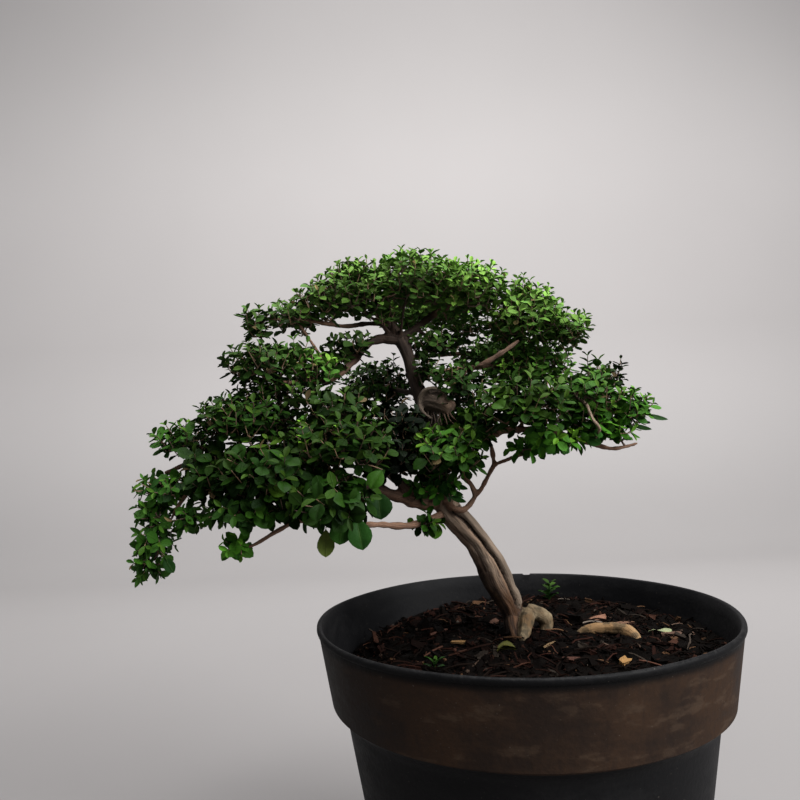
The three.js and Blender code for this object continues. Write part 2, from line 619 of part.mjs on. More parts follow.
// A fallen leaf lies pressed a little into the soil
function fallen({ place: [x, y], length, width, turn }, grow) {
  const geometry = leafGeometry(length, width, grow);
  geometry.translate(-length / 2, 0, 0);
  geometry.rotateZ(turn);
  geometry.translate(x, y, soilHeight(x, y) + LITTER_LIFT);
  return solidOf(geometry);
}

const fatWood = treeWood(GAP);
const stems = [WEED, SPROUT].map((plant) => plantStem(plant, GAP));
const litter = [FALLEN_LEAF, PALE_LEAF].map((leaf) => fallen(leaf, GAP));
const bonsai = new THREE.Group();
bonsai.add(meshOf('pot', pot(), COLOURS.pot));
bonsai.add(meshOf('soil', soil(fatWood, [...stems, ...litter]), COLOURS.soil));
bonsai.add(meshOf('tree_wood', treeWood(0), COLOURS.wood));
bonsai.add(...sprays(fatWood));
bonsai.add(meshOf('weed', littlePlant(WEED, 5), COLOURS.leaf));
bonsai.add(meshOf('sprout', littlePlant(SPROUT, 6), COLOURS.leaf));
bonsai.add(meshOf('fallen_leaf', fallen(FALLEN_LEAF, 0), COLOURS.dry));
bonsai.add(meshOf('pale_leaf', fallen(PALE_LEAF, 0), COLOURS.dry));

export default bonsai;
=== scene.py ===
"""Premna bonsai in a round nursery pot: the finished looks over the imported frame. Metres, +Z up."""
import math
import random

import bmesh
import bpy
import numpy as np
from bpy.props import FloatProperty, FloatVectorProperty, IntProperty, PointerProperty
from mathutils import Matrix, Vector, noise


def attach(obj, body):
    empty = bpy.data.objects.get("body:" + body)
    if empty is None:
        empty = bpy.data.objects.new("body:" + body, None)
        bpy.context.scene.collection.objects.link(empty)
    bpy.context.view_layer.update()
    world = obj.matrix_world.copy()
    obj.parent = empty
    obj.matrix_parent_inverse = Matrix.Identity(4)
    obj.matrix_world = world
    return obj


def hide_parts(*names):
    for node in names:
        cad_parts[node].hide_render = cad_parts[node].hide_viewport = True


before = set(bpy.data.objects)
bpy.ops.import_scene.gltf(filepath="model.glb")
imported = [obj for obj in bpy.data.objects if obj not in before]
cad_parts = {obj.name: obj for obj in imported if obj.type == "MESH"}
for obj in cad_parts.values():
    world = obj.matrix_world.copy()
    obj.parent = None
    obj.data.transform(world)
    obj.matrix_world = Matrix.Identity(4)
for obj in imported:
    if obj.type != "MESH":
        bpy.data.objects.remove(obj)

bl_info = {
    "name": "Premna Bonsai",
    "version": (1, 0, 0),
    "blender": (4, 5, 0),
    "location": "3D View > Sidebar > Bonsai",
    "description": "Finishes a premna bonsai in its nursery pot over the packed frame",
    "category": "Object",
}

MM = 0.001
UP = Vector((0, 0, 1))

# Trunk rows in millimetres: x, y, z and radius, from the root crown up to the head
TRUNK = [
    (6, 22, 128, 7), (4, 23, 160, 9), (0, 22, 181, 7.6), (-1.6, 20, 191, 7.2), (-4.4, 18, 200.3, 7.4),
    (-9.9, 15, 210.6, 8.1), (-14.2, 13, 220, 8.6), (-17.6, 10.5, 230, 8.5), (-23.6, 7.4, 242, 8),
    (-29.8, 5.6, 249.8, 7.8), (-36, 4.2, 257, 7.8), (-42.5, 2, 267, 7.6), (-46.5, 2, 285, 6.9),
    (-48, 3, 301, 6.2), (-50, 5, 317, 6), (-54, 8, 333, 5), (-59, 12, 350, 4.3), (-61.5, 14, 363, 4.1),
    (-66, 15, 374, 4.6), (-73.5, 15, 384, 4.3), (-76, 14, 395, 3.1),
]
# The strip of live wood up the trunk's right side
STRIP = [
    (1.8, 13.5, 200.6, 2), (0.7, 13.5, 204.7, 2.4), (-0.8, 13, 208.6, 2.7), (-2.9, 12, 212, 2.8),
    (-5.2, 10.5, 218.7, 3), (-8.4, 8, 226.1, 3.1), (-11.9, 6, 232.8, 3.1), (-16, 3.5, 239.1, 2.9),
    (-19.4, 1.5, 244.8, 2.9), (-23.6, 0, 250.3, 3), (-27, -1, 255.1, 3), (-30.7, -1.5, 259.6, 3),
    (-33.5, -1.5, 263.5, 2.4),
]
# The trunk's foot, which flares forward beside the root
FLARE = [
    (-2.8, 20, 204, 6), (-2.9, 19.5, 197.3, 5.6), (-2.8, 16.5, 191.5, 5.2), (-2.9, 11.5, 187.4, 4.7),
    (-3, 6, 184, 4), (-3.4, 0, 178, 2.8),
]
# Limbs and twigs: radius at the two ends, then the route
LIMBS = {
    "low_left": ((4.6, 1.3), [
        (-43, 3, 268), (-56, -3, 269), (-71, -11, 274), (-87, -20, 280), (-105, -28, 288),
        (-127, -34, 297), (-149, -34, 303), (-171, -31, 304), (-191, -28, 301), (-208, -26, 295),
    ]),
    "far_left": ((1.7, 1), [(-171, -31, 304), (-186, -28, 309), (-202, -25, 312)]),
    "low_left_rise": ((3, 1.2), [
        (-56, -3, 269), (-68, -12, 280), (-78, -20, 289), (-98, -34, 307), (-114, -34, 316),
        (-131, -32, 321), (-155, -30, 326),
    ]),
    "left_droop": ((1.6, 1), [(-171, -31, 304), (-184, -38, 292), (-195, -43, 277), (-206, -46, 256)]),
    "under_left": ((1.6, 1), [(-127, -34, 297), (-140, -41, 286), (-153, -45, 276), (-166, -46, 269)]),
    "front_twig": ((2.3, 1), [
        (-43, 0, 262), (-53, -8, 259), (-67, -18, 257), (-80, -28, 259), (-93, -36, 261),
        (-108, -42, 262), (-126, -46, 265.5), (-139, -48, 261), (-153, -49, 253.5), (-161, -49, 252),
    ]),
    "front_fork": ((1.4, 1), [(-93, -36, 261), (-98, -48, 268), (-103, -58, 276)]),
    "bow": ((3.4, 1.3), [
        (-64, 15, 373), (-74, 13, 375), (-81.5, 10, 374), (-87, 6, 370.5), (-92, 0, 364.5),
        (-97, -8, 357), (-103, -13, 351), (-112, -19, 346), (-127, -26, 345), (-140, -30, 345),
        (-149, -32, 351), (-152, -33, 360),
    ]),
    "head_left": ((1.9, 1), [
        (-74, 15, 385), (-88, 8, 384), (-101, 1, 382), (-114, -8, 383), (-129, -16, 384),
        (-145, -22, 384), (-152, -25, 381),
    ]),
    "slant": ((1.3, 1), [(-108, -17, 347), (-115, -16, 361), (-122, -16, 373), (-129, -16, 384)]),
    "inner": ((1.3, 1), [(-96, -7, 359), (-99, -6, 367)]),
    "top_left": ((2.1, 1), [
        (-76, 14, 393), (-83, 8, 401), (-95, 1, 406), (-110, -7, 403), (-124, -13, 397),
    ]),
    "top_mid": ((2.6, 1.2), [(-76, 14, 393), (-70, 16, 403), (-58, 15, 411)]),
    "top_right": ((3.2, 1.1), [
        (-66, 15, 374), (-55, 22, 382), (-42, 28, 392), (-26, 29, 400), (-8, 26, 400), (8, 20, 394),
        (24, 13, 386), (40, 4, 377),
    ]),
    "inner_right": ((1.6, 1), [(-55, 22, 382), (-49, 23, 377), (-43, 22, 373)]),
    "back_top": ((2.3, 1.1), [(-74, 15, 386), (-76, 38, 398), (-66, 56, 406), (-46, 69, 408)]),
    "mid_right": ((2.6, 1.1), [
        (-61, 12, 352), (-48, 12, 351), (-32, 16, 352), (-12, 20, 354), (6, 24, 356), (24, 26, 358),
    ]),
    "mid_front": ((1.6, 1), [(-48, 12, 351), (-40, 4, 347), (-31, -3, 343)]),
    "back_right": ((2.2, 1.1), [(-61, 14, 361), (-46, 36, 365), (-24, 54, 368), (4, 60, 369)]),
    "back_mid": ((2.3, 1.1), [(-54, 8, 336), (-62, 26, 340), (-72, 45, 344), (-80, 58, 348)]),
    "right_low": ((2.7, 1), [
        (-48, 3, 304), (-39, -8, 306), (-26, -17, 308), (-13, -24, 310), (2, -29, 311), (18, -31, 309),
        (31, -30, 304.5), (41.8, -28, 300.8), (47.8, -27, 298.8), (55, -26, 296.9), (63.9, -24, 297.7),
        (71.8, -22, 299.4),
    ]),
    "right_rise": ((1.9, 1), [
        (-13, -24, 308), (-4, -34, 318), (8, -40, 326), (24, -34, 329), (44, -26, 329), (60, -22, 324),
        (72, -21, 320),
    ]),
    "right_shoot": ((1.3, 1), [(44, -26, 329), (51, -18, 337), (56, -12, 345)]),
    "thin_right": ((2.2, 1), [
        (-44.5, -2, 270), (-40.5, -5.5, 267), (-37.1, -7, 264.5), (-33.8, -7.5, 263.5), (-30.3, -7, 265),
        (-27.1, -6, 268.1), (-24.4, -6, 272), (-21.2, -7, 275.6), (-13.6, -10, 288.7),
        (-10.5, -13, 291.3), (-3.5, -19, 294), (4.3, -27, 297.4), (13, -29, 302),
    ]),
    "thin_up": ((1.7, 1.3), [
        (-13, -10, 289.6), (-12.9, -11, 293.9), (-14.1, -13, 301.2), (-18.2, -18, 306.8), (-24, -22, 310),
    ]),
    "thin_left": ((1.9, 1.3), [
        (-24.3, -6, 271.7), (-25.3, -6, 275.4), (-27, -7, 279.2), (-30, -8, 282.4), (-31.7, -9, 286.8),
        (-33, -9, 291),
    ]),
    "bare_left": ((1.4, 1.2), [
        (-80, -27, 291), (-72.7, -18, 283.7), (-66.4, -9, 276.9), (-59.8, -2, 271.9),
    ]),
    "brown_mid": ((2.1, 1.2), [
        (-28, 8, 350), (-19.9, -8, 351), (-15.3, -11, 352.6), (-6.8, -12, 357), (0.7, -11, 361.4),
        (7, -8, 366),
    ]),
    "bare_right": ((1.1, 1), [
        (33, -32, 329), (36.2, -46, 322.9), (36.6, -50, 319.2), (37.9, -52, 313.5), (41.4, -51, 309),
        (45, -29, 303.5),
    ]),
    "fan_left": ((1.4, 0.8), [(-75, 11, 380), (-80, 4, 384), (-85, -3, 387), (-92, -8, 392)]),
    "fan_mid_left": ((1.5, 0.8), [(-73, 11, 378), (-77.5, 4, 384), (-80, -2, 389), (-82.5, -6, 396)]),
    "fan_mid": ((1.4, 0.8), [(-70, 11, 378), (-71, 4, 385), (-71.5, -2, 391), (-73, -6, 398)]),
    "fan_right": ((1.3, 0.8), [(-66, 12, 376), (-64.5, 5, 383), (-63, 0, 390), (-61, -3, 398)]),
    "back_low": ((3, 1.2), [(-47, 3, 293), (-44, 28, 302), (-42, 52, 312), (-34, 72, 320)]),
    "back_low_left": ((2.6, 1.2), [(-47, 3, 293), (-64, 24, 302), (-88, 38, 308), (-118, 44, 311)]),
}
# The pruned stub on the trunk's right side, and the callus that curls round its scar
STUB = [(-53, 3, 327, 5.6), (-48, -3.5, 331.5, 7), (-42.5, -7.5, 329.5, 6.6), (-37, -10.5, 325.5, 4.8)]
CALLUS = [
    (-41, -13, 336.5, 0.9), (-47.5, -11.6, 338.8, 1.3), (-53, -9.2, 337.6, 1.5), (-56, -6.5, 332.5, 1.5),
    (-55.5, -7.5, 326.5, 1.4), (-52, -9.3, 322.4, 1.1), (-48.5, -10, 320, 0.8),
]
GREY_STRAND = [(-53, -5.5, 341, 0.9), (-55, -0.5, 347, 0.8), (-55.5, 4, 353, 0.7), (-56.5, 7, 359, 0.5)]
# Torn fibres under the stub: where each starts and ends
TORN = [
    ((-51, -7, 325), (-50, -9.5, 315)), ((-48, -8, 325), (-47.5, -11, 313)),
    ((-46, -9, 325), (-44, -11, 314)), ((-44, -10, 325), (-43.5, -13, 316)),
    ((-42, -11, 324), (-39.5, -13.5, 314)), ((-39.5, -11, 323), (-36, -14, 316)),
    ((-49, -7, 325), (-49.5, -11, 317)), ((-38, -11, 323), (-34, -13, 318)),
    ((-45, -9, 325), (-46, -13, 318)),
]
# The split down the front of the trunk, sunk and darkened with painted shade
SPLIT = [
    (-39.2, -6, 262), (-33.6, -5, 258.3), (-29.5, -4, 253.7), (-26.2, -2.5, 249.1), (-21.9, -0.5, 243.5),
    (-18.5, 1.5, 237.9), (-14.2, 3.5, 232.2), (-10.9, 5.5, 225.7), (-7.4, 7.5, 218.2), (-4.6, 9, 211.7),
    (-2.3, 10, 205.3), (-1.2, 10.5, 201.1),
]
# Surface roots: the front leg, the right leg and its arched run, and two that dive
ROOTS = [
    [
        (6.5, 19, 196, 4.2), (6.8, 16, 193.6, 4.9), (5.2, 11.5, 191.4, 4.9), (3.4, 6.5, 189, 4.5),
        (1.8, 1.5, 186.4, 3.9), (0.4, -3, 183.8, 3.2), (-0.8, -7, 178, 2.5),
    ],
    [
        (6.5, 19, 196, 4.2), (10.6, 18.5, 194.6, 4.9), (14.7, 18, 192.8, 5), (17.8, 18, 190.4, 4.9),
        (18.3, 18, 187.4, 4.6), (18, 17, 183.8, 4.2), (18, 14, 176, 3.8), (26, 8, 174, 3),
        (34, 5, 178.5, 3), (37.8, 5, 183.2, 3.3), (41.6, 4.5, 185.2, 3.4), (46.9, 3.5, 186.2, 3.5),
        (53.3, 2, 186.6, 3.6), (58.9, 0, 186.4, 3.8), (64, -3, 185.2, 3.9), (66.8, -7, 182.8, 3.6),
        (68.6, -10, 177, 2.8),
    ],
    [(3, 24, 186, 5), (-6, 34, 178, 4), (-14, 44, 164, 3)],
    [(0, 20, 180, 5), (-14, 14, 168, 4), (-28, 8, 152, 3)],
]
# Pads of foliage in millimetres: centre, then half sizes
PADS = {
    "crown_left": ((-127, -14, 395), (26, 30, 13)),
    "crown_rise": ((-96, -1, 405), (28, 33, 17)),
    "crown_top": ((-59, 12, 409), (30, 36, 19)),
    "crown_high": ((-20, 22, 403), (31, 36, 21)),
    "crown_shoulder": ((18, 14, 385), (30, 36, 20)),
    "crown_edge": ((44, 1, 373), (18, 24, 14)),
    "crown_back": ((-44, 72, 404), (42, 26, 18)),
    "left_top": ((-152, -25, 382), (10, 12, 10)),
    "left_mid": ((-149, -33, 359), (27, 28, 15)),
    "left_run": ((-120, -24, 353), (19, 16, 10)),
    "left_inner": ((-100, -5, 366), (17, 18, 10)),
    "mid_back": ((-80, 58, 348), (28, 26, 15)),
    "mid_inner": ((-43, 22, 373), (21, 20, 9)),
    "mid_front": ((-30, -5, 342), (20, 20, 13)),
    "mid_right": ((22, 24, 355), (36, 26, 17)),
    "back_upper": ((4, 62, 368), (34, 24, 14)),
    "right_front": ((3, -41, 326), (29, 25, 18)),
    "right_mid": ((42, -26, 328), (23, 26, 17)),
    "right_shoot": ((57, -12, 345), (12, 14, 12)),
    "right_tip": ((72, -21, 319), (17, 21, 11)),
    "right_under": ((14, -30, 301), (26, 22, 10)),
    "right_tail": ((56, -28, 302), (16, 17, 7)),
    "centre_right": ((-38, -26, 308), (27, 27, 18)),
    "centre_deep": ((-72, -10, 302), (25, 28, 20)),
    "centre_front": ((-99, -50, 309), (31, 28, 20)),
    "low_front": ((-103, -60, 276), (27, 24, 17)),
    "deep_low": ((-42, -9, 286), (13, 13, 9)),
    "left_front": ((-143, -46, 295), (31, 32, 22)),
    "left_high": ((-157, -30, 327), (32, 34, 16)),
    "left_far": ((-200, -25, 312), (21, 26, 13)),
    "left_tail": ((-206, -37, 284), (20, 24, 15)),
    "left_drop": ((-212, -46, 255), (14, 14, 20)),
    "left_under": ((-166, -46, 269), (24, 22, 12)),
    "front_tip": ((-162, -49, 252), (12, 12, 8)),
    "front_knot": ((-57, -12, 258), (12, 12, 8)),
    "back_left": ((-118, 44, 312), (42, 32, 19)),
    "back_right": ((-33, 73, 322), (38, 27, 19)),
}
# Pads that are made of lobes here, to follow the outline more closely
LOBES = {
    "crown_left": [((-131.5, -14, 388), (17, 26, 6.8)), ((-114, -12, 396.5), (18, 27, 9))],
    "crown_rise": [
        ((-95, -1, 404), (26, 33, 16)), ((-91, -1, 416), (16, 20, 9)), ((-77, 2, 391), (12, 10, 5)),
    ],
    "crown_top": [((-55, 12, 412), (32, 36, 18))],
    "crown_high": [((-22, 22, 407.5), (31, 34, 19.5))],
    "mid_back": [((-83, 58, 349.5), (26, 26, 15.5))],
    "crown_shoulder": [((17, 14, 384), (28, 35, 19)), ((14, 12, 401), (13, 17, 9))],
    "crown_edge": [((41, 0, 374), (13, 22, 10.5))],
    "left_mid": [((-148.5, -33, 358), (22, 26, 11.5))],
    "left_run": [((-120, -24, 353), (19, 16, 10)), ((-129, -22, 364.5), (12, 12, 6.5))],
    "left_inner": [
        ((-98, -6, 370), (15, 16, 7)), ((-107, -9, 361), (10, 13, 9)), ((-114, -12, 353), (8, 10, 6)),
    ],
    "mid_inner": [((-43, 22, 373), (20, 19, 8)), ((-21, 20, 381), (13, 15, 7))],
    "mid_front": [((-30, -5, 343), (19, 19, 12)), ((-49, 1, 353), (9, 10, 10))],
    "mid_right": [((18, 24, 355), (32, 26, 16))],
    "right_shoot": [((58.5, -12, 342), (12, 13, 8))],
    "right_tip": [((68, -21, 322), (15, 20, 10))],
    "right_under": [((20, -30, 304.5), (21, 22, 6.8)), ((2, -30, 300.5), (8, 14, 4.5))],
    "right_tail": [((58, -26, 307.5), (12, 16, 4)), ((44, -28, 311), (14, 15, 7))],
    "centre_right": [
        ((-42, -26, 303), (23, 27, 12)), ((-22, -24, 314), (14, 20, 12)), ((-34, -26, 296), (15, 16, 7)),
    ],
    "centre_deep": [((-72, -10, 302), (24, 28, 19)), ((-74, -12, 323), (20, 20, 8))],
    "centre_front": [((-100, -50, 309), (30, 28, 19)), ((-105, -40, 330), (25, 21, 8))],
    "low_front": [((-107, -60, 277), (24, 23, 15))],
    "deep_low": [((-45, -10, 283), (14, 13, 12)), ((-58, -10, 280), (10, 10, 8))],
    "front_knot": [((-56, -12, 258), (9, 10, 5.5))],
    "left_front": [
        ((-143, -46, 295), (31, 31, 21)), ((-176, -40, 292), (15, 20, 13)),
        ((-180, -36, 305), (12, 16, 6)), ((-128, -50, 278), (15, 18, 9)),
    ],
    "left_high": [((-157, -30, 326), (31, 34, 15)), ((-139, -30, 341.5), (26, 20, 6))],
    "left_far": [((-197, -25, 316), (17, 25, 9))],
    "left_tail": [
        ((-202.5, -37, 287.5), (18, 24, 8.5)), ((-210.5, -40, 275), (9, 14, 9)),
        ((-190.5, -42, 271), (9, 14, 8)),
    ],
    "left_drop": [((-207, -46, 258), (11, 14, 12)), ((-212, -46, 243.5), (8, 12, 9.5))],
    "left_under": [((-158, -46, 274), (25, 22, 9))],
    "front_tip": [((-162, -49, 253.5), (8, 10, 6.5))],
}
# How each pad grows: leaf size, how far its shoots rise (1) or hang (-1), age from 0 to 1, which is also set
# per pad as painted shade, share of narrow leaves, and painted light, which makes its leaves brighter or
# darker for the light on the pad
HABITS = {
    "crown_left": (0.82, 0.9, 0.1, 0, 0.74), "crown_rise": (0.80, 0.9, 0.02, 0, 0.85),
    "crown_top": (0.78, 0.9, 0, 0, 1.12), "crown_high": (0.78, 0.9, -0.15, 0, 1.45),
    "crown_shoulder": (0.80, 0.9, -0.02, 0, 1.25), "crown_edge": (0.82, 0.8, 0.02, 0.05, 1.05),
    "crown_back": (0.85, 0.8, 0, 0, 1.9), "left_top": (0.80, 0.8, 0.45, 0, 0.55),
    "left_mid": (0.85, 0.8, 0.35, 0, 0.4), "left_run": (0.85, 0.8, 0.4, 0, 1.25),
    "left_inner": (0.95, 0.8, 0.3, 0, 0.27), "mid_back": (0.82, 0.8, 0.85, 0.1, 0.4),
    "mid_inner": (0.75, 0.7, 0.5, 0, 0.65), "mid_front": (0.80, 0.7, 0.5, 0, 0.3),
    "mid_right": (0.80, 0.8, 0.4, 0, 1.4), "back_upper": (0.85, 0.8, 0.6, 0, 1.4),
    "right_front": (1.05, 0.6, 0.3, 0, 0.28), "right_mid": (0.88, 0.85, 0.35, 0, 0.56),
    "right_shoot": (0.72, 1.2, 0.55, 0, 0.14), "right_tip": (0.80, 0.8, 0.5, 0.15, 0.85),
    "right_under": (1, 0, 0.55, 0, 1.05), "right_tail": (0.95, 0, 0.5, 0.1, 1.2),
    "centre_right": (1, 0.5, 0.4, 0, 0.4), "centre_deep": (1, 0.5, 1.2, 0, 0),
    "centre_front": (1, 0.7, 0.3, 0, 0.16), "low_front": (1.3, -0.2, 0.5, 0, 0.18),
    "deep_low": (1, 0.1, 0.85, 0.1, 1.1), "left_front": (1.1, 0.3, 0.4, 0, 0.19),
    "left_high": (0.82, 0.9, 0.45, 0, 0.27), "left_far": (0.85, 0.7, 0.45, 0.2, 0.52),
    "left_tail": (0.88, -0.1, 0.55, 0.25, 0.46), "left_drop": (0.95, -0.7, 0.6, 0.4, 0.45),
    "left_under": (1, -0.1, 0.6, 0, 0.3), "front_tip": (0.95, -0.4, 0.5, 0, 1.1),
    "front_knot": (0.95, -0.1, 0.45, 0, 0.33), "back_left": (1, 0.7, 0.7, 0, 0.6),
    "back_right": (1, 0.7, 0.7, 0, 0.6),
}
# Single leaves that stand out: pad, kind, foot, tip, width, then age, brightness and dryness
SINGLES = [
    ("low_front", "big", (-111, -60, 262.5), (-111.3, -63, 247.4), 10.2, (0.0, 0.4, 0.25)),
    ("low_front", "big", (-94.2, -63, 268), (-91.2, -66, 250.6), 12.4, (0.9, 0.75, 0)),
    ("low_front", "big", (-101.9, -63, 268), (-103.4, -66, 254), 13, (0.75, 0.5, 0)),
    ("low_front", "big", (-117.9, -62, 276), (-115.4, -66, 263.2), 12, (0.5, 0.5, 0)),
    ("low_front", "big", (-98.8, -64, 277), (-103.4, -68, 265.8), 11.6, (0.35, 0.5, 0)),
    ("low_front", "big", (-82.9, -43, 280), (-81.7, -46, 264), 14, (0.95, 0.4, 0)),
    ("left_under", "big", (-146, -56, 273.4), (-141, -60, 263.6), 11, (0.55, 0.5, 0)),
    ("left_front", "big", (-141, -64, 287), (-131, -68, 281.5), 7.6, (0.15, 0.6, 0)),
    ("centre_front", "big", (-98.5, -62, 285.4), (-87.4, -66, 285), 8.4, (0.5, 0.5, 0)),
    ("centre_front", "big", (-79.4, -58, 292), (-86, -62, 282.2), 9.4, (0.4, 0.5, 0)),
    ("right_front", "big", (-20.5, -46, 334), (-4.4, -52, 330), 8.6, (0.2, 0.6, 0)),
    ("right_front", "big", (2.5, -48, 332.8), (14, -54, 327.8), 9.2, (0.25, 0.55, 0)),
    ("right_tip", "narrow", (78.5, -21, 316.2), (90.5, -23, 312.6), 3.4, (1, 0.3, 0)),
    ("right_tip", "narrow", (68, -24, 310.6), (79.4, -26, 307.2), 3.4, (1, 0.3, 0)),
    ("centre_right", "big", (-29.5, -20, 296), (-19.4, -22, 289.5), 6.4, (0.8, 0.6, 0)),
    ("deep_low", "narrow", (-39.5, -12, 280.5), (-29.6, -14, 276.7), 3.8, (1, 0.3, 0)),
    ("deep_low", "narrow", (-41.5, -12, 276), (-32.6, -14, 273.2), 3.8, (1, 0.3, 0)),
    ("deep_low", "narrow", (-41, -12, 272.8), (-31, -14, 269), 3.8, (1, 0.3, 0)),
    ("front_knot", "big", (-50.2, -9, 258.6), (-50.8, -12, 247.4), 9.4, (0.3, 0.55, 0)),
    ("right_tail", "big", (37.5, -30, 308), (47, -33, 300), 11, (1, 0.5, 0)),
    ("left_drop", "big", (-202, -50, 250), (-195.6, -52, 241.5), 6.6, (1, 0.4, 0)),
]
# Shoots that stand out: pad, foot, tip, pairs of leaves, leaf length, whether lime green
SPRIGS = [
    ("right_mid", (45, -20, 336), (46, -20, 353), 5, 8.6, 0),
    ("right_mid", (52, -16, 338), (53, -16, 350), 4, 8, 0),
    ("centre_front", (-117.6, -66, 301), (-121.5, -68, 319.5), 5, 7, 1),
    ("centre_front", (-99.6, -67, 299), (-101.7, -69, 315.5), 5, 7, 1),
    ("crown_top", (-63, 4, 418), (-62.5, 2, 430), 4, 5.5, 0),
    ("crown_shoulder", (14, 8, 399), (15.5, 6, 410), 4, 6, 0),
    ("crown_shoulder", (28, 8, 392), (31, 6, 403), 4, 6, 0),
    ("right_shoot", (66, -12, 340), (68, -13, 351), 4, 7, 0),
    ("mid_back", (-72, 52, 356), (-71, 51, 368), 4, 6, 0),
]
# Tints of the bark mix: how often each occurs, then its colour
SOIL_TINTS = [
    (54, (0.0016, 0.0009, 0.0006)), (24, (0.0036, 0.0015, 0.0010)), (11, (0.0105, 0.0040, 0.0027)),
    (6, (0.026, 0.0115, 0.0075)), (3, (0.052, 0.027, 0.014)), (3, (0.015, 0.0115, 0.0090)),
    (1, (0.055, 0.036, 0.026)), (0.4, (0.05, 0.04, 0.032)),
]
# Single chips that stand out: flake (0), block (1), sliver (2) or splinter (3), place in millimetres,
# length in metres, turn and colour
STRAY_CHIPS = [
    (0, (58.2, 40), 0.017, 0.5, (0.17, 0.085, 0.055)), (1, (45.1, -56), 0.0095, 0.9, (0.19, 0.105, 0.040)),
    (2, (-36.8, 0), 0.014, -0.2, (0.15, 0.085, 0.035)), (1, (47, 34), 0.007, 0.2, (0.045, 0.033, 0.026)),
    (3, (12, -22), 0.013, 0.8, (0.13, 0.085, 0.045)), (2, (68, 22), 0.018, 0.35, (0.10, 0.055, 0.035)),
    (3, (-50, 28), 0.015, 0.7, (0.06, 0.028, 0.020)), (0, (20, -48), 0.013, -0.6, (0.05, 0.024, 0.018)),
    (2, (92, -8), 0.020, 0.1, (0.07, 0.042, 0.030)), (0, (-12, 40), 0.012, 1.1, (0.07, 0.036, 0.025)),
]
# Small plants: name, place in millimetres, height in metres, pairs of leaves, leaf length, seed and age
SMALL_PLANTS = [
    ("weed", (37, 98), 0.0135, 6, 0.0108, 31, 0.35),
    ("sprout", (-56, -34), 0.0048, 4, 0.0072, 37, 0.4),
]
# Loose leaves: name, place in millimetres, length and width in metres, turn, colour, fold and arch
FALLEN_LEAVES = [
    ("fallen_leaf", (-14, -28), 0.0125, 0.0095, 0.1, (0.042, 0.042, 0.007), 0.7, 0.12),
    ("pale_leaf", (84, -1), 0.020, 0.0046, -0.3, (0.17, 0.19, 0.105), 0.35, 0.10),
]
# Pot: thickness of its floor, the ring of drain holes and the notch in the rim, in metres
POT_FLOOR = 0.003
DRAIN_HOLES = 6
DRAIN_RING = 0.06
DRAIN_RADIUS = 0.006
NOTCH_ANGLE = 1.37
NOTCH_SIZE = (0.0156, 0.0058, 0.0042)
# Soil: its clearance from the pot's wall, and the height of its underside
SOIL_GAP = 0.00035
SOIL_FLOOR = POT_FLOOR + SOIL_GAP
# Depth of the split in metres, and how much wear pales the bare parts of the wood; on the strip this paleness
# is partly painted highlight
SPLIT_DEPTH = 0.0019
WORN = {"strip": 0.9, "callus": 0.5, "strand": 0.5, "bare": 0.6, "stub": 0.28}
# Thickness of a leaf as a share of its length, and the way that the single leaves face
LEAF_THICKNESS = 0.035
TO_VIEWER = Vector((0, -0.9, 0.45))
# Camera: place in metres, tilt up from straight down and roll in degrees, and lens in millimetres
CAMERA_PLACE = (-0.068, -0.4386, 0.3034)
CAMERA_TILT = 93.9
CAMERA_ROLL = -2.77
CAMERA_LENS = 31.5
# Soft lamps: place and width of each in metres, and the point that they shine at
LAMPS = {"key": ((1.05, -0.78, 1.0), 0.8), "top": ((0.2, -0.3, 2.8), 2.6)}
TREE_MIDDLE = Vector((-0.05, 0, 0.25))
ROOM_TINT = (0.93, 0.95, 1.0)
# Stains and specks of the pot, and the grey of its painted sheen
DRIED_SOIL = (0.055, 0.037, 0.025)
DAMP_STREAK = (0.012, 0.009, 0.008)
SHEEN_GREY = (0.045, 0.043, 0.040)
PALE_SPECK = (0.16, 0.14, 0.12)
# Tones of the wood: hollows and ridges of the trunk's foot, limbs, roots, and the near-black of painted shade
# in the split and on shaded wood
FOOT_HOLLOW = (0.018, 0.009, 0.005)
FOOT_RIDGE = (0.070, 0.032, 0.014)
LIMB_BARK = (0.17, 0.088, 0.054)
ROOT_BROWN = (0.075, 0.044, 0.019)
ARCHED_ROOT = (0.21, 0.12, 0.052)
ROOT_STAIN = (0.026, 0.020, 0.010)
SHADE_BLACK = (0.006, 0.004, 0.003)
TWIG_TAN = (0.20, 0.12, 0.065)
# Tones of the leaves
SUNLIT_LEAF = (0.085, 0.135, 0.042)
LEAF_RIB = (0.13, 0.24, 0.04)
LEAF_UNDERSIDE = (0.09, 0.19, 0.05)
BROWN_SPOT = (0.16, 0.10, 0.035)


# Sizes and colours

class BonsaiPotSettings(bpy.types.PropertyGroup):
    """Sizes and colours of the nursery pot"""
    height: FloatProperty(name="Height", description="Height of the pot", default=0.2, unit="LENGTH")
    rim: FloatProperty(name="Rim radius", description="Outer radius at the rim", default=0.125, unit="LENGTH")
    taper: FloatProperty(name="Taper", description="How much the wall draws in for each length down",
                         default=0.17)
    collar: FloatProperty(name="Collar depth", description="Depth of the wide collar", default=0.044,
                          unit="LENGTH")
    step: FloatProperty(name="Step depth", description="Height of the curve under the collar", default=0.01,
                        unit="LENGTH")
    step_in: FloatProperty(name="Step in", description="How far the body stands in from the collar",
                           default=0.0068, unit="LENGTH")
    wall: FloatProperty(name="Wall", description="Thickness of the wall", default=0.0026, unit="LENGTH")
    plastic: FloatVectorProperty(name="Plastic", description="Colour of the bare plastic", subtype="COLOR",
                                 default=(0.0045, 0.0045, 0.0050))
    stain: FloatVectorProperty(name="Stain", description="Colour of the soil stains", subtype="COLOR",
                               default=(0.030, 0.0165, 0.0098))
    dust: FloatVectorProperty(name="Dust", description="Colour of the dried dust", subtype="COLOR",
                              default=(0.018, 0.0175, 0.0175))


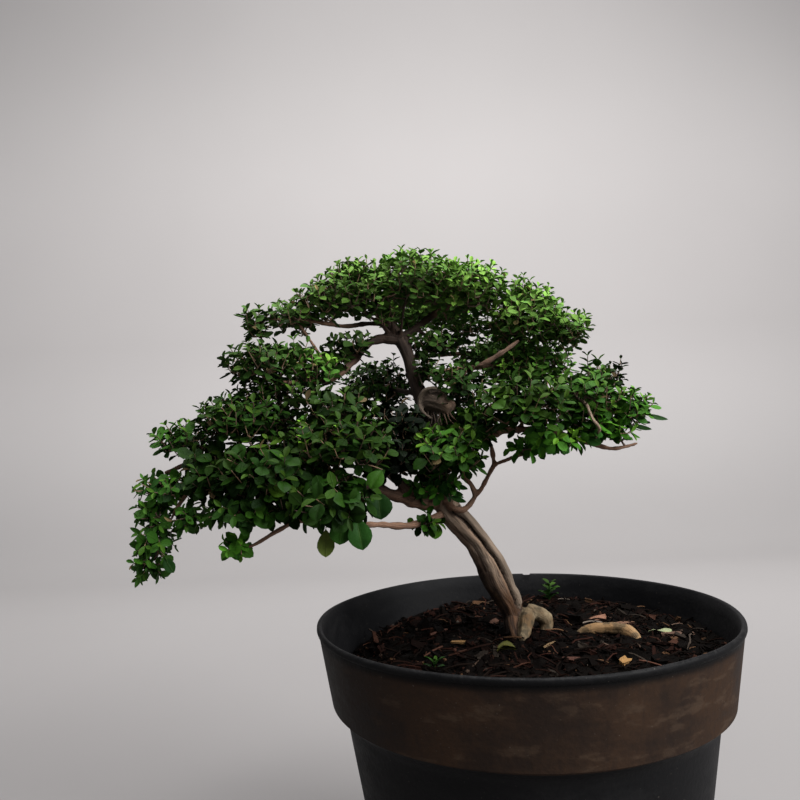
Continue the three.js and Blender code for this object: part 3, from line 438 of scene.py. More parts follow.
class BonsaiSoilSettings(bpy.types.PropertyGroup):
    """Make-up of the bark mix"""
    crumbs: IntProperty(name="Crumbs", description="Small crumbs on the soil", default=1500, min=0)
    chips: IntProperty(name="Chips", description="Bark chips on the soil", default=1000, min=0)
    fibres: IntProperty(name="Fibres", description="Thin fibres and twigs on the soil", default=720, min=0)
    soil: FloatVectorProperty(name="Soil", description="Colour of the damp soil", subtype="COLOR",
                              default=(0.0018, 0.0012, 0.0009))


class BonsaiWoodSettings(bpy.types.PropertyGroup):
    """Sizes and colours of the wood"""
    voxel: FloatProperty(name="Voxel", description="Size of the faces of the wood", default=0.0009,
                         unit="LENGTH")
    ridge: FloatProperty(name="Ridge height", description="Height of the bark's ridges", default=0.0007,
                         unit="LENGTH")
    bark: FloatVectorProperty(name="Bark", description="Colour of the trunk's bark", subtype="COLOR",
                              default=(0.285, 0.190, 0.128))
    dark: FloatVectorProperty(name="Dark bark", description="Colour of limbs and hollows", subtype="COLOR",
                              default=(0.075, 0.043, 0.028))
    pale: FloatVectorProperty(name="Pale wood", description="Colour of worn ridges and bare twigs",
                              subtype="COLOR", default=(0.205, 0.158, 0.118))
    root: FloatVectorProperty(name="Root", description="Colour of the bare roots", subtype="COLOR",
                              default=(0.150, 0.112, 0.066))


class BonsaiLeafSettings(bpy.types.PropertyGroup):
    """Sizes and colours of the leaves"""
    length: FloatProperty(name="Leaf length", description="Length of a grown leaf", default=0.0088,
                          unit="LENGTH")
    spacing: FloatProperty(name="Spacing", description="Least distance between shoot tips", default=0.0078,
                           unit="LENGTH")
    young: FloatVectorProperty(name="Young leaf", description="Colour of a leaf at a tip", subtype="COLOR",
                               default=(0.105, 0.225, 0.016))
    grown: FloatVectorProperty(name="Grown leaf", description="Colour of a grown leaf", subtype="COLOR",
                               default=(0.039, 0.135, 0.010))
    old: FloatVectorProperty(name="Old leaf", description="Colour of an old leaf", subtype="COLOR",
                             default=(0.014, 0.058, 0.0085))
    dry: FloatVectorProperty(name="Dry leaf", description="Colour of a dried leaf", subtype="COLOR",
                             default=(0.26, 0.17, 0.085))


class BonsaiStageSettings(bpy.types.PropertyGroup):
    """Light and backdrop"""
    paper: FloatVectorProperty(name="Backdrop", description="Colour of the floor and backdrop",
                               subtype="COLOR", default=(0.745, 0.71, 0.70))
    key: FloatProperty(name="Key light", description="Power of the soft light at the right", default=41,
                       unit="POWER")
    top: FloatProperty(name="Top light", description="Power of the large light overhead", default=172,
                       unit="POWER")
    ambient: FloatProperty(name="Ambient", description="Strength of the even light all round", default=0.35)


# Handling of meshes

def alone(thing):
    """Leaves only this object selected and active"""
    bpy.ops.object.select_all(action="DESELECT")
    thing.select_set(True)
    bpy.context.view_layer.objects.active = thing


def choose(thing, test):
    """In edit mode, selects the points whose place passes the test"""
    shape = bmesh.from_edit_mesh(thing.data)
    shape.select_mode = {"VERT"}
    for point in shape.verts:
        point.select = bool(test(point.co))
    shape.select_flush_mode()
    bmesh.update_edit_mesh(thing.data)


def modified(thing, kind, **settings):
    """Adds a modifier and applies it"""
    alone(thing)
    modifier = thing.modifiers.new(kind.title(), kind)
    for key, value in settings.items():
        setattr(modifier, key, value)
    bpy.ops.object.modifier_apply(modifier=modifier.name)


def joined(parts, name):
    """Joins objects into the first of them"""
    bpy.ops.object.select_all(action="DESELECT")
    for part in parts:
        part.select_set(True)
    bpy.context.view_layer.objects.active = parts[0]
    if len(parts) > 1:
        bpy.ops.object.join()
    whole = bpy.context.view_layer.objects.active
    whole.name = name
    whole.data.name = name
    return whole


def places(thing):
    """All points of a mesh as an array"""
    found = np.zeros(3 * len(thing.data.vertices), np.float32)
    thing.data.vertices.foreach_get("co", found)
    return found.reshape(-1, 3)


def put(thing, points):
    """Sets all points of a mesh"""
    thing.data.vertices.foreach_set("co", np.asarray(points, np.float32).ravel())
    thing.data.update()


def painted(mesh, name, colour):
    """Gives a mesh one colour attribute of a single value"""
    layer = mesh.attributes.get(name) or mesh.attributes.new(name, "FLOAT_COLOR", "POINT")
    layer.data.foreach_set("color", np.tile(np.asarray(colour, np.float32), len(mesh.vertices)))


def rounded(thing, degrees):
    """Shades a mesh smooth but for its sharp edges"""
    alone(thing)
    bpy.ops.object.shade_smooth_by_angle(angle=math.radians(degrees))


def finished(thing, slot, nodes, *materials):
    """Hands a piece over to the frame: its body and the nodes it stands for. Its slot is not used."""
    if materials:
        thing.data.materials.clear()
        for material in materials:
            thing.data.materials.append(material)
    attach(thing, "root")
    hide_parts(*nodes)


def copy_of(master, matrix, tint):
    """A copy of a master with its own mesh, put in place and tinted"""
    mesh = master.data.copy()
    mesh.transform(matrix)
    painted(mesh, "tint", tint)
    copy = bpy.data.objects.new(master.name, mesh)
    bpy.context.collection.objects.link(copy)
    return copy


def discard(*things):
    """Removes masters once their copies are made"""
    for thing in things:
        bpy.data.objects.remove(thing, do_unlink=True)


def ringed(name, rings, sides):
    """A closed body of circles about the Z axis, extruded ring by ring: each is a radius and a height"""
    bpy.ops.object.select_all(action="DESELECT")
    radius, height = rings[0]
    bpy.ops.mesh.primitive_circle_add(vertices=sides, radius=radius, fill_type="NGON", enter_editmode=True)
    bpy.ops.transform.translate(value=(0, 0, height))
    for wider, higher in rings[1:]:
        bpy.ops.mesh.extrude_edges_move(TRANSFORM_OT_translate={"value": (0, 0, higher - height)})
        share = wider / radius
        bpy.ops.transform.resize(value=(share, share, 1), center_override=(0, 0, higher))
        radius, height = wider, higher
    bpy.ops.mesh.edge_face_add()
    bpy.ops.mesh.select_all(action="SELECT")
    bpy.ops.mesh.normals_make_consistent(inside=False)
    bpy.ops.object.mode_set(mode="OBJECT")
    body = bpy.context.object
    body.name = name
    return body


def smooth_route(rows, spacing):
    """Rows of x, y, z and radius in metres, spaced out along a smooth curve through rows in millimetres"""
    rows = [np.array(row, float) * MM for row in rows]
    found = []
    for i, (start, end) in enumerate(zip(rows, rows[1:])):
        before, after = rows[max(i - 1, 0)], rows[min(i + 2, len(rows) - 1)]
        bend = 2 * before - 5 * start + 4 * end - after
        swing = 3 * start - before - 3 * end + after
        steps = max(1, round(np.linalg.norm((end - start)[:3]) / spacing))
        for step in range(steps):
            t = step / steps
            found.append(0.5 * (2 * start + (end - before) * t + bend * t * t + swing * t ** 3))
    found.append(rows[-1])
    return np.array(found)


def tubes(name, routes, fineness):
    """Round tubes along routes of x, y, z and radius, made as one curve and turned into a mesh"""
    curve = bpy.data.curves.new(name, "CURVE")
    curve.dimensions = "3D"
    curve.bevel_depth = 1
    curve.bevel_resolution = fineness
    curve.use_fill_caps = True
    for rows in routes:
        rows = np.asarray(rows, np.float32)
        spline = curve.splines.new("POLY")
        spline.points.add(len(rows) - 1)
        spline.points.foreach_set("co", np.column_stack([rows[:, :3], np.ones(len(rows))]).ravel())
        spline.points.foreach_set("radius", rows[:, 3])
    thing = bpy.data.objects.new(name, curve)
    bpy.context.collection.objects.link(thing)
    alone(thing)
    bpy.ops.object.convert(target="MESH")
    return bpy.context.object


# Materials

def socket_of(sockets, key):
    """The first socket with this number, identifier or name"""
    return next(socket for i, socket in enumerate(sockets) if key in (i, socket.identifier, socket.name))


class Value:
    """A number on the surface; sums on it add Math nodes"""

    def __init__(self, finish, socket):
        self.finish = finish
        self.socket = socket

    def sum(self, operation, *values):
        return self.finish.node("ShaderNodeMath", {"operation": operation}, dict(enumerate(values))).value(0)

    def __add__(self, other):
        return self.sum("ADD", self, other)

    def __radd__(self, other):
        return self.sum("ADD", other, self)

    def __sub__(self, other):
        return self.sum("SUBTRACT", self, other)

    def __rsub__(self, other):
        return self.sum("SUBTRACT", other, self)

    def __mul__(self, other):
        return self.sum("MULTIPLY", self, other)

    def __rmul__(self, other):
        return self.sum("MULTIPLY", other, self)

    def __abs__(self):
        return self.sum("ABSOLUTE", self)

    def step(self, start, end):
        """Rises smoothly from 0 at start to 1 at end"""
        settings = {"interpolation_type": "SMOOTHSTEP"}
        inputs = {"Value": self, "From Min": start, "From Max": end}
        return self.finish.node("ShaderNodeMapRange", settings, inputs).value("Result")


class Placed:
    """A shader node with its outputs found by number, identifier or name"""

    def __init__(self, finish, node):
        self.finish = finish
        self.node = node

    def out(self, key):
        return socket_of(self.node.outputs, key)

    def value(self, key):
        return Value(self.finish, self.out(key))


class Finish:
    """A material and the nodes that it is made of"""

    def __init__(self, name, **constants):
        self.material = bpy.data.materials.new(name)
        self.material.use_nodes = True
        self.tree = self.material.node_tree
        self.shader = self.tree.nodes["Principled BSDF"]
        for key, value in constants.items():
            self.shader.inputs[key.replace("_", " ")].default_value = value

    def node(self, kind, settings=None, inputs=None):
        """Adds a node: its settings first, then the values or links of its sockets"""
        made = self.tree.nodes.new(kind)
        for key, value in (settings or {}).items():
            setattr(made, key, value)
        for key, value in (inputs or {}).items():
            self.feed(socket_of(made.inputs, key), value)
        return Placed(self, made)

    def feed(self, socket, value):
        """Links or sets one socket"""
        if isinstance(value, Value):
            self.tree.links.new(value.socket, socket)
        elif isinstance(value, bpy.types.NodeSocket):
            self.tree.links.new(value, socket)
        elif socket.type == "RGBA":
            socket.default_value = (*value, 1)
        else:
            socket.default_value = value

    def place(self):
        """Where a point lies on the object, in metres"""
        return self.node("ShaderNodeTexCoord").out("Object")

    def attribute(self, name):
        return self.node("ShaderNodeAttribute", {"attribute_name": name})

    def parts(self, colour):
        """The three parts of a colour as numbers"""
        made = self.node("ShaderNodeSeparateColor", None, {"Color": colour})
        return made.value(0), made.value(1), made.value(2)

    def axes(self, vector):
        """The three parts of a vector as numbers"""
        made = self.node("ShaderNodeSeparateXYZ", None, {"Vector": vector})
        return made.value(0), made.value(1), made.value(2)

    def stretched(self, vector, scale):
        """A vector scaled on each axis"""
        made = self.node("ShaderNodeVectorMath", {"operation": "MULTIPLY"}, {0: vector, 1: scale})
        return made.out("Vector")

    def grain(self, vector, scale, detail=3, rough=0.55):
        """Soft noise round 0.5: scale is how many waves fit into a metre"""
        inputs = {"Vector": vector, "Scale": scale, "Detail": detail, "Roughness": rough}
        return self.node("ShaderNodeTexNoise", None, inputs).value("Fac")

    def mixed(self, share, first, second):
        """The second colour laid over the first by a share"""
        inputs = {"Factor_Float": share, "A_Color": first, "B_Color": second}
        return self.node("ShaderNodeMix", {"data_type": "RGBA"}, inputs).out("Result_Color")

    def lit(self, colour, strength):
        """A colour made brighter or darker by a number"""
        inputs = {"Vector": colour, "Scale": strength}
        return self.node("ShaderNodeVectorMath", {"operation": "SCALE"}, inputs).out("Vector")

    def surface(self, colour, roughness, height=None, depth=0.001):
        """Feeds the varying sockets of the shader; depth is how high the bumps stand, in metres"""
        self.feed(self.shader.inputs["Base Color"], colour)
        self.feed(self.shader.inputs["Roughness"], roughness)
        if height is not None:
            bump = self.node("ShaderNodeBump", None, {"Height": height, "Distance": depth, "Strength": 1.0})
            self.feed(self.shader.inputs["Normal"], bump.out("Normal"))
        return self.material


def pot_plastic(colours):
    """Black plastic, soil-stained in patches on the collar and dusty below, with a painted sheen at the
    collar's far left and painted shade on the lip
    """
    finish = Finish("pot_plastic", Specular_IOR_Level=0.06)
    place = finish.place()
    across, deep, height = finish.axes(place)
    cloud = finish.grain(finish.stretched(place, (1, 1, 0.8)), 16, 5, 0.62)
    streak = finish.grain(finish.stretched(place, (1, 1, 0.12)), 110, 4, 0.6)
    smear = finish.grain(finish.stretched(place, (0.35, 0.35, 1)), 130, 4, 0.6)
    fine = finish.grain(place, 420, 3)
    speck = finish.grain(place, 800, 2)
    # The middle of the wall at each height parts its outside from its inside
    middle = height * 0.17 + 0.0897
    outside = (across * across + deep * deep - middle * middle).step(-0.00008, 0.00008)
    foot, brim = 0.151, 0.192
    collar = height.step(foot - 0.003, foot + 0.003) * (1 - height.step(brim, brim + 0.0045)) * outside
    side = 0.3 + across.step(-0.115, -0.045) * 0.7
    patch = (cloud * 0.7 + streak * 0.2 + smear * 0.25).step(0.44, 0.62)
    stained = collar * side * (0.45 + patch * 0.55)
    grime = (cloud * 0.6 + streak * 0.5).step(0.42, 0.62)
    seam = (1 - abs(height - foot).step(0.0, 0.006)) * grime * outside
    dusty = (cloud * 0.55 + fine * 0.2 + smear * 0.3).step(0.46, 0.66)
    colour = finish.mixed(dusty * 0.34, colours.plastic, colours.dust)
    colour = finish.mixed(stained * (0.55 + fine * 0.6), colour, colours.stain)
    colour = finish.mixed(stained * smear.step(0.54, 0.66) * 0.4, colour, DRIED_SOIL)
    colour = finish.mixed(stained * streak.step(0.55, 0.68) * 0.35, colour, DAMP_STREAK)
    # Painted sheen: the collar's far left is lightened to grey, standing in for light that glances off it
    wear_and_sheen = collar * (1 - across.step(-0.118, -0.098)) * (0.6 + fine * 0.6)
    colour = finish.mixed(wear_and_sheen * 0.6, colour, SHEEN_GREY)
    colour = finish.mixed(seam * 0.6, colour, colours.stain)
    # Painted shade: the outside of the lip is darkened by nearly half, against the light that its upturned
    # face catches
    colour = finish.lit(colour, 1 - height.step(0.1915, 0.1950) * outside * 0.45)
    lip = height.step(0.1986, 0.1998) * (streak * 0.5 + fine * 0.5).step(0.44, 0.62)
    colour = finish.mixed(lip * 0.35, colour, colours.dust)
    colour = finish.mixed(speck.step(0.72, 0.77) * 0.3, colour, PALE_SPECK)
    roughness = 0.52 + dusty * 0.2 + stained * 0.2
    return finish.surface(colour, roughness, fine * 0.3 + cloud * 0.4 + smear * 0.25, 0.0006)


def soil_mix():
    """Damp bark mix: each crumb, chip and fibre keeps its own tint"""
    finish = Finish("soil_mix", Specular_IOR_Level=0.03)
    place = finish.place()
    tint = finish.attribute("tint").out("Color")
    fine = finish.grain(place, 700, 4, 0.65)
    broad = finish.grain(place, 90, 3)
    colour = finish.lit(tint, 0.3 + fine * 0.85 + broad * 0.45)
    return finish.surface(colour, 0.66 + fine * 0.25, fine, 0.0008)


def bark(colours):
    """Long-grained bark: richer at the foot, dark limbs, pale stained roots, and painted shade in the split,
    on the trunk's shaded side and under the crown
    """
    finish = Finish("bark", Specular_IOR_Level=0.2)
    along = finish.attribute("grain").out("Vector")
    tone = finish.attribute("tone")
    rooty, painted_shade, limb = finish.parts(tone.out("Color"))
    wear_and_sheen = tone.value("Alpha")
    place = finish.place()
    across, _, height = finish.axes(place)
    ridge = finish.grain(along, 1.0, 4, 0.55)
    crease = finish.grain(finish.stretched(along, (3.2, 3.2, 1.5)), 1.0, 4, 0.6)
    fleck = finish.grain(place, 620, 3)
    broad = finish.grain(place, 55, 3)
    colour = finish.mixed(ridge.step(0.38, 0.58), colours.dark, colours.bark)
    colour = finish.mixed(crease.step(0.5, 0.7) * broad.step(0.4, 0.6) * 0.8, colour, colours.pale)
    rich = finish.mixed(ridge.step(0.4, 0.62), FOOT_HOLLOW, FOOT_RIDGE)
    colour = finish.mixed((1 - height.step(0.202, 0.245)) * 0.95, colour, rich)
    twig = finish.mixed(crease.step(0.36, 0.62), colours.dark, LIMB_BARK)
    # The limb tone is the limbs' own darker bark; on the upper trunk it is painted shade
    colour = finish.mixed(limb * 0.85, colour, twig)
    # The trunk's upper half and its head lie in the shade of the crown
    head = height.step(0.262, 0.285) * across.step(-0.12, -0.085) * (1 - across.step(-0.046, -0.036))
    colour = finish.lit(colour, 1 - head * 0.84)
    colour = finish.mixed(wear_and_sheen * 0.8, colour, finish.lit(tuple(colours.pale), 0.4 + ridge * 1.1))
    bare = finish.mixed(broad.step(0.38, 0.62), colours.root, ROOT_BROWN)
    colour = finish.mixed(rooty, colour, finish.lit(bare, 0.5 + ridge * 0.9))
    blotch = finish.grain(place, 190, 3)
    arched = rooty * across.step(0.032, 0.040)
    colour = finish.mixed(arched * 0.75, colour, finish.lit(ARCHED_ROOT, 0.5 + ridge))
    stain = rooty * (broad * 0.3 + blotch * 0.7).step(0.47, 0.58)
    colour = finish.mixed(stain * 0.7, colour, ROOT_STAIN)
    # Painted shade: near-black in the split, on the trunk's shaded left side and underside, and on the brown
    # limb under the crown
    colour = finish.mixed(painted_shade, colour, SHADE_BLACK)
    return finish.surface(colour, 0.66 + ridge * 0.2, ridge + crease * 0.5 + fleck * 0.2, 0.001)


def leaf_skin(colours):
    """Leaf: its tint holds age, brightness and dryness, and the far half of its UV map is the underside"""
    finish = Finish("leaf_skin", Specular_IOR_Level=0.07)
    age, bright, dry = finish.parts(finish.attribute("tint").out("Color"))
    uv = finish.node("ShaderNodeUVMap", {"uv_map": "leaf_map"}).out("UV")
    along, across, _ = finish.axes(uv)
    under = along.step(0.499, 0.501)
    rib = 1 - abs(across - 0.5).step(0.01, 0.08)
    place = finish.place()
    _, _, height = finish.axes(place)
    mottle = finish.grain(place, 260, 3)
    colour = finish.mixed(age.step(0.0, 0.5), colours.young, colours.grown)
    colour = finish.mixed(age.step(0.5, 1.0), colour, colours.old)
    colour = finish.mixed(height.step(0.31, 0.38) * 0.42, colour, SUNLIT_LEAF)
    # The brightness is painted light and shade: each pad's painted light, and each shoot's painted shade
    # deeper in its lobe and lower down
    colour = finish.lit(colour, (0.05 + bright * 1.75) * (0.75 + mottle * 0.5))
    colour = finish.mixed(rib * 0.22, colour, finish.lit(LEAF_RIB, bright))
    colour = finish.mixed(under * 0.25, colour, finish.lit(LEAF_UNDERSIDE, bright))
    colour = finish.mixed(dry, colour, finish.lit(tuple(colours.dry), 0.25 + bright))
    return finish.surface(colour, 0.5 + under * 0.2 + mottle * 0.14 + dry * 0.1, mottle + rib * 0.3, 0.0004)


def twig_bark(colours):
    """Thin young twigs, brown to tan"""
    finish = Finish("twig_bark")
    place = finish.place()
    broad = finish.grain(place, 60, 2)
    fine = finish.grain(place, 900, 3)
    colour = finish.mixed(broad.step(0.42, 0.64), colours.dark, TWIG_TAN)
    return finish.surface(finish.lit(colour, 0.6 + fine * 0.6), 0.75, fine, 0.0004)


def litter_skin():
    """Fallen leaves: the tint is the colour itself, browned in spots"""
    finish = Finish("litter_skin", Specular_IOR_Level=0.08)
    place = finish.place()
    tint = finish.attribute("tint").out("Color")
    spots = finish.grain(place, 330, 4, 0.6)
    colour = finish.lit(tint, 0.6 + spots * 0.8)
    colour = finish.mixed(spots.step(0.60, 0.70) * 0.5, colour, BROWN_SPOT)
    return finish.surface(colour, 0.5 + spots * 0.2, spots, 0.0005)


def paper(colour):
    """Matte studio backdrop, with painted light and shade over it"""
    finish = Finish("paper", Specular_IOR_Level=0.2)
    place = finish.place()
    cloud = finish.grain(place, 1.3, 3)
    _, deep, height = finish.axes(place)
    # Painted light and shade: the run goes back along the floor and up the wall; the painted brightness is
    # lowest on the floor at the front, rises over the run, and falls again at the top
    run = deep + height
    shade = 0.215 + run.step(0.0, 1.2) * 0.145 + run.step(1.6, 2.8) * 0.18 - run.step(3.15, 4.05) * 0.15
    return finish.surface(finish.lit(tuple(colour), shade * (0.95 + cloud * 0.1)), 0.9)


# Shared forms

def outer_radius(pot, height):
    """Outside of the pot's wall at a height"""
    depth = pot.height - height
    step = min(1, max(0, (depth - pot.collar) / pot.step))
    return pot.rim - pot.taper * depth - pot.step_in * math.sin(step * math.pi / 2)


def ground(x, y):
    """Height of the soil, in metres: mounded at the trunk, lower at the left and the back"""
    x, y = x / MM, y / MM
    angle = math.atan2(y, x)
    share = min(1, (x * x + y * y) / 125 ** 2)
    sides = 9.5 * math.cos(angle) + 5 * math.sin(angle)
    oval = 3.2 * math.cos(2 * angle) + 2 * math.sin(2 * angle)
    depth = 16.5 + (26.2 - sides + oval - 16.5) * share
    lumps = math.sin(x * 0.19 + 1) * math.cos(y * 0.17) + 0.6 * math.sin(x * 0.07 - y * 0.31)
    return (200 - depth + lumps) * MM


def lumpy(x, y):
    """The soil with its smaller lumps"""
    rough = noise.noise((x * 130, y * 130, 3.1)) * 1.6 + noise.noise((x * 330, y * 330, 7.7)) * 1.1
    return ground(x, y) + rough * MM


def blade_place(place, along, face, length, width):
    """Matrix that puts a unit leaf at a place, along a direction and facing another"""
    x = along.normalized()
    z = (face - x * face.dot(x)).normalized()
    y = z.cross(x)
    matrix = Matrix((x * length, y * width, z * length)).transposed().to_4x4()
    matrix.translation = place
    return matrix


def leaf_master(name, columns, rows, width, peak, fold, arch, wave=0.0):
    """A leaf one unit long on +X, from a grid shaped column by column, closed by a second sheet under it"""
    power = math.log(0.5) / math.log(peak)

    def half(u):
        """Half the leaf's width at a share of its length"""
        if u < 0.001 or u > 0.999:
            return 0
        stalk = min(1, 0.22 + u / 0.16 * 0.78)
        return 0.5 * width * math.sin(math.pi * u ** power) ** 0.72 * stalk

    bpy.ops.object.select_all(action="DESELECT")
    bpy.ops.mesh.primitive_grid_add(x_subdivisions=columns, y_subdivisions=rows, size=1, enter_editmode=True)
    leaf = bpy.context.object
    bpy.ops.transform.translate(value=(0.5, 0, 0))
    bpy.ops.mesh.duplicate_move(TRANSFORM_OT_translate={"value": (0, 0, -1)})
    bpy.ops.mesh.flip_normals()
    stops = [step / columns for step in range(columns + 1)]
    spots = [0.4 * u + 0.3 * (1 - math.cos(math.pi * u)) for u in stops]
    for u, spot in zip(stops, spots):
        wide = half(spot)
        choose(leaf, lambda co: abs(co.x - u) < 1e-4)
        bpy.ops.transform.resize(value=(1, max(2 * wide, 1e-6), 1), center_override=(u, 0, 0))
        bpy.ops.transform.translate(value=(0, 0, arch * math.sin(math.pi * spot) + 0.25 * arch * spot))
        for side in (-1, 1):
            choose(leaf, lambda co: abs(co.x - u) < 1e-4 and side * co.y > 0.3 * wide + 1e-5)
            rise = fold * wide + wave * math.sin(9 * u + side) * wide
            bpy.ops.transform.translate(value=(0, 0, rise))
        choose(leaf, lambda co: abs(co.x - u) < 1e-4)
        bpy.ops.transform.translate(value=(spot - u, 0, 0))
    inner = [(spot, half(spot)) for spot in spots[1:-1]]

    def belly(co):
        """Whether a point lies on the lower sheet, inside its edge"""
        return co.z < -0.5 and any(abs(co.x - x) < 1e-4 and abs(co.y) < y - 1e-4 for x, y in inner)

    choose(leaf, belly)
    bpy.ops.transform.translate(value=(0, 0, -LEAF_THICKNESS))
    choose(leaf, lambda co: co.z < -0.5)
    bpy.ops.transform.translate(value=(0, 0, 1))
    bpy.ops.mesh.select_all(action="SELECT")
    bpy.ops.mesh.remove_doubles(threshold=1e-4)
    bpy.ops.object.mode_set(mode="OBJECT")
    leaf.name = name
    layer = leaf.data.uv_layers.new(name="leaf_map")
    mesh = leaf.data
    for face in mesh.polygons:
        below = face.normal.z < 0
        for loop in face.loop_indices:
            co = mesh.vertices[mesh.loops[loop].vertex_index].co
            wide = half(co.x)
            side = co.y / wide if wide > 0 else 0
            layer.data[loop].uv = (0.5 * min(max(co.x, 0.0), 0.99) + (0.5 if below else 0), 0.5 + 0.49 * side)
    painted(mesh, "tint", (0.5, 0.5, 0, 1))
    rounded(leaf, 40)
    return leaf


def shoot_leaves(rng, foot, axis, length, pairs, size, hang, dark, fresh, shade, outward=None):
    """Matrix, tint and length of each leaf up one shoot: crossed pairs that close towards its tip"""
    side = axis.orthogonal().normalized()
    turn = rng.uniform(0, math.pi)
    outward = outward or axis
    drop = max(0, 0.8 - hang)
    found = []
    for level in range(pairs):
        share = level / max(1, pairs - 1)
        place = foot + axis * (length * (0.15 + 0.85 * share))
        lean = math.radians(82 - 26 * share ** 1.5 + rng.uniform(-11, 11))
        taper = 0.92 + 0.2 * share - 0.44 * share ** 3
        reach = size * taper * rng.uniform(0.82, 1.18) * (0.82 if fresh else 1)
        age = (1 - share) * 0.5 + dark * 0.55 + rng.uniform(-0.12, 0.12) - (0.4 if fresh else 0)
        for half in range(2):
            angle = turn + level * math.pi / 2 + half * math.pi + rng.uniform(-0.25, 0.25)
            out = Matrix.Rotation(angle, 3, axis) @ side
            along = axis * math.cos(lean) + out * math.sin(lean) - UP * (0.32 * drop - 0.04)
            face = axis * 0.6 + UP * rng.uniform(0.2, 0.8) + outward * (0.2 + 0.6 * drop)
            face += Vector((rng.uniform(-0.4, 0.4), rng.uniform(-0.4, 0.4), 0))
            wide = reach * rng.uniform(0.86, 1.14)
            bright = (0.5 + rng.uniform(-0.16, 0.16) + (0.12 if fresh else 0)) * shade
            dry = 0.8 if rng.random() < 0.004 + 0.02 * (share > 0.9) else 0
            tint = (min(1, max(0, age)), min(1, max(0, bright)), dry, 1)
            matrix = blade_place(place, along, face, reach * rng.uniform(0.95, 1.05), wide)
            found.append((matrix, tint, reach))
    return found


# Pieces

class BONSAI_OT_stage(bpy.types.Operator):
    """Sets the camera, the pale floor and backdrop, and the soft light"""
    bl_idname = "bonsai.stage"
    bl_label = "Stage"

    def backdrop(self, stage):
        """The floor, which bends up into a wall behind the pot"""
        bpy.ops.object.select_all(action="DESELECT")
        bpy.ops.mesh.primitive_plane_add(size=1, enter_editmode=True)
        floor = bpy.context.object
        bpy.ops.transform.resize(value=(9, 5, 1))
        bpy.ops.transform.translate(value=(0, -1.2, 0))
        choose(floor, lambda co: co.y > 1)
        bend, steps, wall = 0.7, 14, 3
        for step in range(steps):
            angle = (step + 0.5) / steps * math.pi / 2
            move = bend * math.pi / 2 / steps
            value = (0, move * math.cos(angle), move * math.sin(angle))
            bpy.ops.mesh.extrude_edges_move(TRANSFORM_OT_translate={"value": value})
        bpy.ops.mesh.extrude_edges_move(TRANSFORM_OT_translate={"value": (0, 0, wall)})
        bpy.ops.object.mode_set(mode="OBJECT")
        floor.name = "backdrop"
        rounded(floor, 60)
        floor.data.materials.append(paper(stage.paper))

    def light(self, stage):
        """Two soft lamps turned to the tree, and an even light all round"""
        for name, power in {"key": stage.key, "top": stage.top}.items():
            place, size = LAMPS[name]
            bpy.ops.object.light_add(type="AREA", location=place)
            lamp = bpy.context.object
            lamp.name = name
            lamp.data.energy = power
            lamp.data.size = size
            lamp.rotation_euler = (TREE_MIDDLE - Vector(place)).to_track_quat("-Z", "Y").to_euler()
        world = bpy.data.worlds.new("soft_room")
        world.use_nodes = True
        background = world.node_tree.nodes["Background"]
        background.inputs["Color"].default_value = (*ROOM_TINT, 1)
        background.inputs["Strength"].default_value = stage.ambient
        bpy.context.scene.world = world
        bpy.context.scene.view_settings.view_transform = "Standard"

    def camera(self):
        """The camera, at the photograph's angle"""
        camera = bpy.data.cameras.new("photo_camera")
        camera.sensor_width = 36
        camera.lens = CAMERA_LENS
        camera.clip_start, camera.clip_end = 0.01, 50
        holder = bpy.data.objects.new("photo_camera", camera)
        bpy.context.collection.objects.link(holder)
        tilt = Matrix.Rotation(math.radians(CAMERA_TILT), 4, "X")
        roll = Matrix.Rotation(math.radians(CAMERA_ROLL), 4, "Z")
        holder.matrix_world = Matrix.Translation(CAMERA_PLACE) @ tilt @ roll
        bpy.context.scene.camera = holder

    def execute(self, context):
        stage = context.scene.bonsai_stage
        self.backdrop(stage)
        self.light(stage)
        self.camera()
        return {"FINISHED"}


